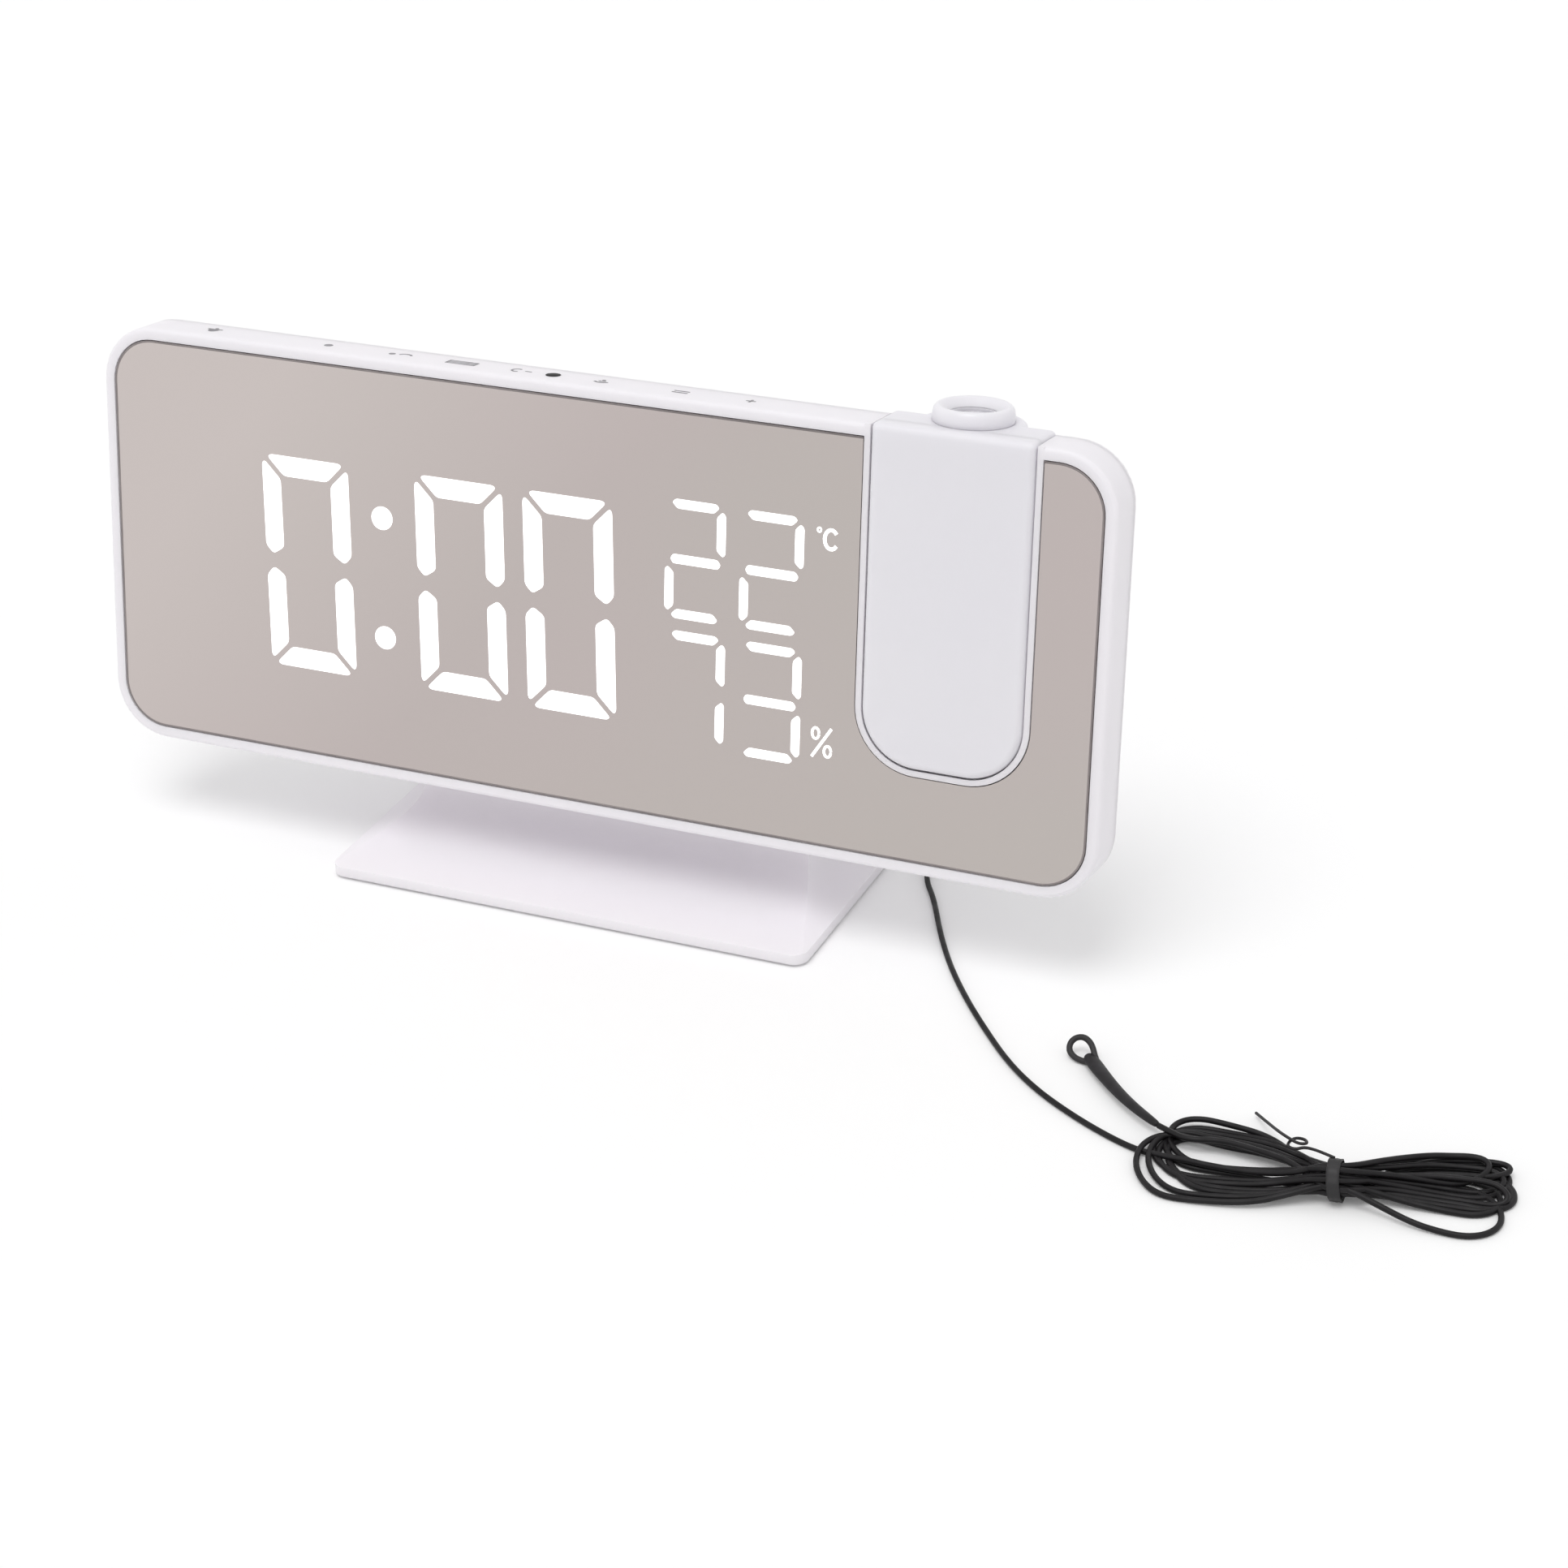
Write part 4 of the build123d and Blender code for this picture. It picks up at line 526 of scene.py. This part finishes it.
# Where each turn's strand lies in the tie: across, and above its middle
TIE_SLOTS = (
    (0.55, 2.2), (0.55, -2.2), (0.55, 1.1), (1.65, 1.1), (0.55, -1.1), (1.65, -1.1), (0.55, 0), (1.65, 0),
    (2.4, 0),
)
# Each loop of the hank: side of its outward and of its return strand, how far its end lies along the hank and
# across it, and the heights of the two strands
RIGHT_LOOPS = (
    (11.6, 5.6, 21.0, 10.5, 2.3, 1.4), (12.4, 8.4, 24.0, 11.3, 1.4, 1.4), (13.2, 3.9, 24.2, 9.0, 0.5, 0.5),
    (10.4, 5.4, 23.4, 8.5, 1.4, 0.5), (11.2, 1.9, 25.4, 5.2, 0.5, 0.5), (9.2, 0.9, 25.0, 5.6, 0.5, 0.5),
    (8.2, -0.2, 23.6, 3.6, 0.5, 0.5), (6.4, -5.5, 24.2, -0.6, 0.5, 0.5), (6.2, 2.9, 24.5, 4.0, 2.3, 0.5),
)
LEFT_LOOPS = (
    (2.9, 13.5, 26.8, 10.0, 0.5, 1.4), (1.8, 12.6, 27.0, 8.0, 0.5, 0.5), (-0.2, 11.6, 28.6, 6.6, 0.5, 0.5),
    (-1.3, 10.6, 27.6, 5.6, 0.5, 0.5), (-2.4, 9.6, 26.3, 6.4, 0.5, 0.5), (-3.5, 8.7, 26.2, 6.0, 0.5, 0.5),
    (-4.9, 9.3, 28.8, 4.4, 0.5, 1.4), (-6.4, 8.3, 30.4, 3.2, 0.5, 1.4),
)
# How a strand fans out from the tie: distance along, then its shares of the way to its own side and height
STRAND_FAN = ((6.5, 0.52, 0.5), (12, 0.88, 0.85))
STRAND_SHARE = 0.93       # the last point of a strand, as a share of the way to its bend
BEND_SHARE = 0.7          # the bend at a loop's end: how its depth follows the loop's half width
BEND_LEAST = 2.4
BEND_MOST = 6.5
BEND_SWELL = 1.04
BEND_TURNS = (72, 44, 15, -15, -44, -72)


def in_hank(along, side, height):
    """A point given along and across the hank from its tie."""
    x = HANK_TIE[0] + along * math.cos(HANK_ANGLE) - side * math.sin(HANK_ANGLE)
    y = HANK_TIE[1] + along * math.sin(HANK_ANGLE) + side * math.cos(HANK_ANGLE)
    return (x, y, height)


def hank_loop(way, loop, leaving, arriving):
    """One loop on one side of the tie: out along one strand, round its end and back along the other.
    leaving and arriving are its heights in the tie."""
    outward, inward, end, end_side, rise_out, rise_in = loop
    half = (outward - inward) / 2
    middle = (outward + inward) / 2
    reach = min(abs(half) * BEND_SHARE + BEND_LEAST, BEND_MOST)

    def strand(side, tied, rise):
        fan = [in_hank(way * along, side * spread, tied * (1 - lift) + rise * lift)
               for along, spread, lift in STRAND_FAN]
        return fan + [in_hank(way * (end - reach) * STRAND_SHARE, side, rise)]

    bend = []
    for turn in BEND_TURNS:
        out = math.cos(math.radians(turn))
        over = math.sin(math.radians(turn))
        bend.append(in_hank(
            way * (end - reach + reach * BEND_SWELL * out),
            middle + half * BEND_SWELL * over + (end_side - middle) * out,
            rise_in + (rise_out - rise_in) * (1 + over) / 2,
        ))
    return strand(outward, leaving, rise_out) + bend + strand(inward, arriving, rise_in)[::-1]


def wire_route():
    """The wire's points in their order: lead, hank turn by turn, tail."""
    route = list(LEAD) + [in_hank(*place) for place in HANK_START]
    heights = [TIE_HEIGHT + above for across, above in TIE_SLOTS]
    for turn, right in enumerate(RIGHT_LOOPS):
        across = TIE_SLOTS[turn][0]
        level = heights[turn]
        route += [in_hank(-TIE_HALF, across, level), in_hank(TIE_HALF, across, level)]
        route += hank_loop(1, right, level, level)
        route += [in_hank(TIE_HALF, -across, level), in_hank(-TIE_HALF, -across, level)]
        if turn < len(LEFT_LOOPS):
            route += hank_loop(-1, LEFT_LOOPS[turn], level, heights[turn + 1])
    return route + [in_hank(*place) for place in HANK_FINISH] + list(TAIL)


EYELET_CENTRE = Vector((97.1, -38.9, 1.75))
EYELET_NORMAL = Vector((-0.1, -0.6, 0.79)).normalized()
EYELET_WIRE = 0.5
# One half of the loop, from its neck to its far end: towards the sleeve, to the side
EYELET_HALF = ((3.8, 0.4), (2.7, 0.8), (1.7, 1.36), (0.4, 1.76), (-1.0, 1.6), (-1.9, 0.62))
SLEEVE_START = 1.8
SLEEVE_SIDES = 20
# Share of the sleeve's length, half width, half thickness, bend to the side
SLEEVE = (
    (0.0, 0.55, 0.45, 0.0), (0.03, 1.05, 0.6, 0.05), (0.1, 1.3, 0.7, 0.2), (0.25, 1.2, 0.7, 0.55),
    (0.42, 1.08, 0.68, 0.85), (0.6, 0.98, 0.66, 0.95), (0.78, 0.86, 0.64, 0.7), (0.93, 0.72, 0.6, 0.25),
    (1.0, 0.5, 0.5, 0.0),
)


def make_eyelet():
    """Wire loop at the end of the antenna, and the shrunk sleeve over its neck."""
    sleeve_end = Vector(TAIL[-1])
    way = (sleeve_end - EYELET_CENTRE).normalized()
    across = EYELET_NORMAL.cross(way).normalized()
    along = across.cross(EYELET_NORMAL)
    turns = list(EYELET_HALF) + [(out, -side) for out, side in reversed(EYELET_HALF)]
    path = [EYELET_CENTRE + along * out + across * side for out, side in turns]
    loop = add_piece(spline_curve("antenna_loop", path, EYELET_WIRE), "fitting")
    start = EYELET_CENTRE + along * SLEEVE_START
    side = way.cross(Vector((0, 0, 1))).normalized()
    up = side.cross(way)
    skin = []
    for share, wide, thick, bend in SLEEVE:
        middle = start.lerp(sleeve_end, share) + side * bend
        skin.append([middle + side * wide * math.cos(turn) + up * thick * math.sin(turn)
                     for turn in equal_turns(SLEEVE_SIDES)])
    sleeve = add_piece(ringed_mesh("antenna_sleeve", skin), "sleeve")
    rounding = sleeve.modifiers.new("rounding", "SUBSURF")
    rounding.render_levels = 2
    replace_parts(sleeve, "antenna_eyelet")
    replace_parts(loop, "antenna_eyelet")
    return [loop, sleeve]


TIE_RADIUS = 2.93
TIE_SINK = 0.02           # how much flatter than round the band is
TIE_SKEW = 0.4
TIE_STEPS = 72
TIE_RIDGES = 9
TIE_RIDGE = 0.07
# The band's outer side: along the hank, and out from its inner side
TIE_SECTION = ((-1.0, 0.02), (-0.9, 0.3), (-0.45, 0.24), (0.0, 0.3), (0.45, 0.24), (0.9, 0.3), (1.0, 0.02))
TIE_TAIL_RADIUS = 0.24
TIE_TAIL = (
    (-0.6, 1.3, 6.3), (-2.5, 2.6, 6.0), (-4.0, 4.0, 5.4), (-5.6, 5.0, 4.9), (-7.0, 4.6, 4.5),
    (-8.5, 5.8, 4.2), (-7.7, 8.0, 4.3), (-5.9, 7.4, 4.7), (-5.2, 5.7, 5.1), (-6.6, 5.2, 5.2),
    (-8.9, 7.8, 4.5), (-10.6, 10.6, 3.4), (-12.6, 14.0, 2.2), (-15.2, 18.3, 0.8),
)


def make_tie():
    """Twist tie round the middle of the hank, and its twisted tail."""
    band = []
    for turn in equal_turns(TIE_STEPS):
        swell = TIE_RIDGE * math.cos(TIE_RIDGES * turn)
        ring = []
        for offset, out in TIE_SECTION:
            reach = TIE_RADIUS + out + swell
            along = offset - TIE_SKEW * math.sin(turn)
            rise = (reach - TIE_SINK) * math.sin(turn)
            ring.append(in_hank(along, reach * math.cos(turn), TIE_HEIGHT + rise))
        band.append(ring)
    wrap = add_piece(ringed_mesh("antenna_tie_band", band, True), "fitting")
    path = [in_hank(*place) for place in TIE_TAIL]
    tail = add_piece(spline_curve("antenna_tie_tail", path, TIE_TAIL_RADIUS), "fitting")
    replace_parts(wrap, "antenna_tie")
    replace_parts(tail, "antenna_tie")
    return [wrap, tail]


def make_antenna():
    wire = add_piece(spline_curve("antenna_wire", wire_route(), WIRE_DIAMETER / 2), "wire")
    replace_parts(wire, "antenna_lead", "antenna_hank", "antenna_tail")
    make_eyelet() + make_tie()


make_antenna()


# Digits that shine through the mirror, as thin lit plates on its front

PLATE_FRONT = 0.11
PLATE_DEPTH = 0.03
# The bars that each digit lights, lettered clockwise from the top one, with the middle one last
LIT = {"0": "abcdef", "2": "abdeg", "3": "abcdg", "7": "abc"}
# Bar width, gap between bars, cut at the corners, shape of the side bars' inner ends, rounding and slant
CLOCK_DIGIT = {"bar": 3.55, "gap": 1.0, "corner": 1.7, "notch": 2.3, "tip": 1.4, "outer_rise": 1.5,
               "inner_rise": 1.4, "ease": 0.7, "slant": -0.033}
SMALL_DIGIT = {"bar": 1.6, "gap": 0.8, "corner": 1.8, "notch": 2.7, "tip": 0.5, "outer_rise": 0.5,
               "inner_rise": 1.0, "ease": 0.4, "slant": 0.0}
GAP_CUT = 0.707           # share of the gap that a cut at 45 degrees takes off each bar
# The middle bar: which end a point is measured from, how far in and how far up, in bar widths
MIDDLE_BAR = ((1, 0.6, 0), (1, 0.9, 0.5), (-1, 0.9, 0.5), (-1, 0.5, 0), (-1, 0.8, -0.5), (1, 0.9, -0.5))
# Each group: its form, and its digits with their left, right, bottom and top
DIGITS = {
    "hour_digit": (CLOCK_DIGIT, (("0", -60.8, -43.8, -19.6, 18.0),)),
    "minute_digits": (CLOCK_DIGIT, (("0", -30.9, -14.1, -19.5, 18.2), ("0", -10.3, 6.4, -19.5, 18.3))),
    "temperature_digits": (SMALL_DIGIT, (("2", 15.6, 26.5, 0.2, 20.5), ("2", 29.1, 40.4, 0.3, 20.4))),
    "humidity_digits": (SMALL_DIGIT, (("7", 15.8, 26.8, -21.6, -1.9), ("3", 29.3, 40.6, -21.7, -1.8))),
}
COLON_DOT = 2.05
COLON = ((-37.8, 9.6), (-37.4, -11.6))
ROUND = (0, 352)          # the start and end of an oval drawn by one stroke
OPEN_RIGHT = (38, 322)
# Ovals of the degree, C and percent signs: middle, half width and height, start and end, stroke
SIGN_OVALS = (
    (43.0, 18.8, 0.32, 0.36, *ROUND, 0.3), (45.1, 17.4, 1.15, 1.6, *OPEN_RIGHT, 0.62),
    (43.4, -15.6, 0.62, 0.95, *ROUND, 0.45), (45.6, -18.5, 0.62, 0.95, *ROUND, 0.45),
)
PERCENT_BAR = ((46.2, -14.5), (42.8, -19.7))
PERCENT_STROKE = 0.5
CORNER_LIMIT = 0.48       # the most of a side that one corner's rounding takes
CORNER_SHARES = (0.0, 0.25, 0.5, 0.75, 1.0)


def eased(outline, reach):
    """The outline with each corner rounded over that distance along its sides."""
    points = [Vector(point) for point in outline]
    result = []
    for index, corner in enumerate(points):
        before = points[index - 1] - corner
        after = points[(index + 1) % len(points)] - corner
        start = corner + before.normalized() * min(reach, before.length * CORNER_LIMIT)
        end = corner + after.normalized() * min(reach, after.length * CORNER_LIMIT)
        for share in CORNER_SHARES:
            result.append(start.lerp(corner, share).lerp(corner.lerp(end, share), share))
    return result


def digit_outlines(form, digit, left, right, bottom, top):
    """The lit bars of one seven-bar digit of that form, between these sides."""
    middle = (bottom + top) / 2
    bar = form["bar"]
    cut = form["gap"] * GAP_CUT
    corner = form["corner"]
    half = form["notch"] / 2
    reach = (corner + cut) / 2
    drop = (corner - cut) / 2

    def side_bar(outer, inward, end, way):
        return [
            (outer, end - way * corner), (outer + inward * drop, end - way * reach),
            (outer + inward * bar, end - way * (bar + cut)),
            (outer + inward * bar, middle + way * (half + form["inner_rise"])),
            (outer + inward * form["tip"], middle + way * half),
            (outer, middle + way * (half + form["outer_rise"])),
        ]

    def end_bar(level, way):
        return [
            (left + corner, level), (right - corner, level), (right - reach, level - way * drop),
            (right - bar - cut, level - way * bar), (left + bar + cut, level - way * bar),
            (left + reach, level - way * drop),
        ]

    shapes = {
        "a": end_bar(top, 1),
        "b": side_bar(right, -1, top, 1),
        "c": side_bar(right, -1, bottom, -1),
        "d": end_bar(bottom, -1),
        "e": side_bar(left, 1, bottom, -1),
        "f": side_bar(left, 1, top, 1),
        "g": [((left if way > 0 else right) + way * bar * into, middle + bar * rise)
              for way, into, rise in MIDDLE_BAR],
    }
    leant = []
    for name in LIT[digit]:
        leant.append([(x + form["slant"] * (z - middle), z) for x, z in eased(shapes[name], form["ease"])])
    return leant


def on_mirror(x, z, depth):
    """A place on the lit plates, or that deep in them."""
    return on_body(x, PLATE_FRONT + depth, z)


def make_digits():
    groups = {}
    for name, (form, digits) in DIGITS.items():
        groups[name] = [bar for digit in digits for bar in digit_outlines(form, *digit)]
    groups["colon_dots"] = [disc_outline(x, z, COLON_DOT) for x, z in COLON]
    groups["unit_signs"] = [stroke(arc(*oval), width) for *oval, width in SIGN_OVALS]
    groups["unit_signs"].append(stroke(PERCENT_BAR, PERCENT_STROKE))
    for name, outlines in groups.items():
        add_piece(flat_plates(name, outlines, on_mirror, PLATE_DEPTH), "lit")


make_digits()


# Printed pictograms on the top edge, over the buttons, as thin plates. Each is drawn about its own middle.

MARK_LIFT = 0.02          # above the edge
MARK_SINK = 0.02          # and into it
# Widths of the strokes
FINE = 0.34
THIN = 0.4
PLAIN = 0.42
UPRIGHT = 0.43
BOLD = 0.45
DOT_STEPS = 12
ROUND_STEPS = 14
SCREEN_HALF = (2.6, 1.05)
SCREEN_LINES = (0.9, 0.3, -0.3, -0.9)


def on_top(x, y, depth):
    """A place on the marks, which read from the front: y points forwards."""
    return on_body(x, MARK_LINE - y, TOP_EDGE + MARK_LIFT - depth)


def bell_mark():
    return [arc(0, -0.4, 1.0, 1.5, 0, 180), stroke([(-1.45, -0.6), (1.45, -0.6)], BOLD),
            disc_outline(0, -1.2, 0.35, DOT_STEPS)]


def dot_mark():
    return [disc_outline(0, 0, 0.8, ROUND_STEPS)]


def sun_mark():
    return [disc_outline(-1.9, 0, 0.6, ROUND_STEPS), stroke(arc(0.6, 0.3, 1.2, 1.1, 200, 340), PLAIN)]


def screen_mark():
    wide, high = SCREEN_HALF
    lines = [stroke([(-wide, level), (wide, level)], FINE) for level in SCREEN_LINES]
    return lines + [stroke([(side, -high), (side, high)], FINE) for side in (-wide, wide)]


def moon_mark():
    return [stroke(arc(-0.6, 0, 0.9, 0.9, 60, 300), THIN), stroke([(0.9, 0), (2.1, 0)], THIN)]


def waves_mark():
    waves = [stroke(arc(0, -0.8, radius, radius, 40, 140), THIN) for radius in (0.8, 1.6)]
    return waves + [disc_outline(0, -0.8, 0.35, DOT_STEPS)]


def beam_mark():
    return [stroke([(-1.4, level), (1.4, level)], PLAIN) for level in (-0.45, 0.55)]


def plus_mark():
    return [stroke([(-0.85, 0), (0.85, 0)], BOLD), stroke([(0, -0.85), (0, 0.85)], UPRIGHT)]


MARKS = (bell_mark, dot_mark, sun_mark, screen_mark, moon_mark, waves_mark, beam_mark, plus_mark)


def make_marks():
    outlines = []
    for mark, button in zip(MARKS, BUTTONS):
        outlines += [[(x + middle_x(button), y) for x, y in outline] for outline in mark()]
    add_piece(flat_plates("printed_marks", outlines, on_top, MARK_LIFT + MARK_SINK), "print")


make_marks()


# Painted shade: a thin dark strip along the mirror's outline that stands for the shadow in the gap between
# the mirror and its bezel

MIRROR_HALF = (90.8, 35.0)
MIRROR_CORNER = 7.8
MIRROR_FRONT = 0.15
EDGE_INSET = 0.02
EDGE_WIDTH = 0.32
EDGE_LIFT = 0.02
CORNER_STEPS = 12
SLOT_SIDES = (50.05, 80.55)   # the arm's slot leaves the edge open here


def edge_path(inset):
    """The mirror's outline from the slot's left side round to its right side, drawn in by an inset."""
    wide = MIRROR_HALF[0] - MIRROR_CORNER
    high = MIRROR_HALF[1] - MIRROR_CORNER
    radius = MIRROR_CORNER - inset
    path = [(SLOT_SIDES[0], high + radius)]
    for x, z, start in ((-wide, high, 90), (-wide, -high, 180), (wide, -high, 270), (wide, high, 0)):
        path += arc(x, z, radius, radius, start, start + 90, CORNER_STEPS)
    return path + [(SLOT_SIDES[1], high + radius)]


def make_painted_gap_shade():
    front = MIRROR_FRONT - EDGE_LIFT
    back = MIRROR_FRONT + EDGE_LIFT
    rings = []
    for outer, inner in zip(edge_path(EDGE_INSET), edge_path(EDGE_WIDTH)):
        section = ((outer, front), (inner, front), (inner, back), (outer, back))
        rings.append([on_body(x, depth, z) / MM for (x, z), depth in section])
    # a strip of painted shade on the mirror's face, where the gap round the mirror casts its shadow
    add_piece(ringed_mesh("painted_gap_shade", rings), "painted_gap_shade")


make_painted_gap_shade()


# Focus ring: tapered sides, and a cup that slopes down to the lens

RING_DEPTH = 8.6          # depth of the lens axis
RING_STEPS = 96
# radius, height in the body's axes
RING_PROFILE = (
    (5.2, 30.2), (5.2, 37.72), (6.6, 37.72), (6.7, 37.8), (6.66, 38.6), (6.55, 39.4), (6.4, 39.85),
    (6.12, 40.2), (5.75, 40.4), (5.5, 40.33), (5.2, 40.08), (4.6, 39.6), (4.0, 39.12), (3.85, 38.99),
    (3.9, 38.94), (4.32, 38.92), (4.32, 30.2),
)


def make_focus_ring():
    cup = lathe("focus_ring_cup", RING_PROFILE, middle_x("focus_ring"), RING_DEPTH, RING_STEPS, closed=True)
    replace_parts(add_piece(cup, "ring", "focus_ring"), "focus_ring")


make_focus_ring()


# Light sensor: a near-black disc at the mouth of the hole in the top edge, which is the sensor's dark window
# and also painted shade of the hole

SENSOR_STEPS = 28
# radius, height in the body's axes
SENSOR_PROFILE = (
    (1.3, 32.6), (1.45, 32.7), (1.45, 35.0), (1.3, 35.15), (0.86, 35.2), (0.86, 37.21), (1.3, 37.21),
    (1.3, 37.23), (0.15, 37.24),
)


def make_sensor():
    dome = lathe("sensor_window_and_shade_disc", SENSOR_PROFILE, middle_x("light_sensor"), MARK_LINE, SENSOR_STEPS)
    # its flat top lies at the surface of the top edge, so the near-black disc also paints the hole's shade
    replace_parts(add_piece(dome, "sensor"), "light_sensor")


make_sensor()


# Floor and light

FLOOR_HALF = 6.0
FLOOR_COLOUR = (0.93, 0.93, 0.93, 1)
FLOOR_PALER = (0.935, 0.935, 0.935, 1)
FLOOR_GLOW = 0.07
WORLD_LIGHT = 0.7
SUN_POWER = 1.0
SUN_SPREAD = math.radians(35)
SUN_TURN = (math.radians(18), 0, math.radians(-10))


def seen_directly(tree):
    """1 for what the camera sees, also in a reflection or through glass, and 0 for light on the object."""
    rays = tree.nodes.new("ShaderNodeLightPath")
    seen = rays.outputs["Is Camera Ray"]
    for ray in ("Is Glossy Ray", "Is Transmission Ray"):
        either = tree.nodes.new("ShaderNodeMath")
        either.operation = "MAXIMUM"
        tree.links.new(seen, either.inputs[0])
        tree.links.new(rays.outputs[ray], either.inputs[1])
        seen = either.outputs["Value"]
    return seen


def make_floor():
    """Pale floor that keeps the shadow, and goes over to white where nothing shades it."""
    finish = Finish("floor", FLOOR_COLOUR, 0.9, Emission_Color=WHITE)
    finish.mottle(FLOOR_PALER, scale=3, detail=1, low=0.3, high=0.7)
    glow = finish.ramp(seen_directly(finish.tree), low=0, high=1, first=0, last=FLOOR_GLOW)
    finish.link(glow, finish.shader.inputs["Emission Strength"])
    data = bpy.data.meshes.new("floor")
    corners = [(x * FLOOR_HALF, y * FLOOR_HALF, 0) for x, y in ((-1, -1), (1, -1), (1, 1), (-1, 1))]
    data.from_pydata(corners, [], [(0, 1, 2, 3)])
    data.materials.append(finish.material)
    floor = bpy.data.objects.new("floor", data)
    scene.collection.objects.link(floor)


def make_light():
    """White world that lights the object less than it shows behind it, and one soft sun."""
    world = bpy.data.worlds.new("studio")
    scene.world = world
    world.use_nodes = True
    tree = world.node_tree
    background = tree.nodes["Background"]
    background.inputs["Color"].default_value = WHITE
    level = tree.nodes.new("ShaderNodeMapRange")
    level.inputs["To Min"].default_value = WORLD_LIGHT
    level.inputs["To Max"].default_value = 1.0
    tree.links.new(seen_directly(tree), level.inputs["Value"])
    tree.links.new(level.outputs["Result"], background.inputs["Strength"])
    lamp = bpy.data.lights.new("sun", "SUN")
    lamp.energy = SUN_POWER
    lamp.angle = SUN_SPREAD
    sun = bpy.data.objects.new("sun", lamp)
    sun.rotation_euler = SUN_TURN
    scene.collection.objects.link(sun)


scene.view_settings.view_transform = "Standard"
make_floor()
make_light()

bpy.context.view_layer.update()
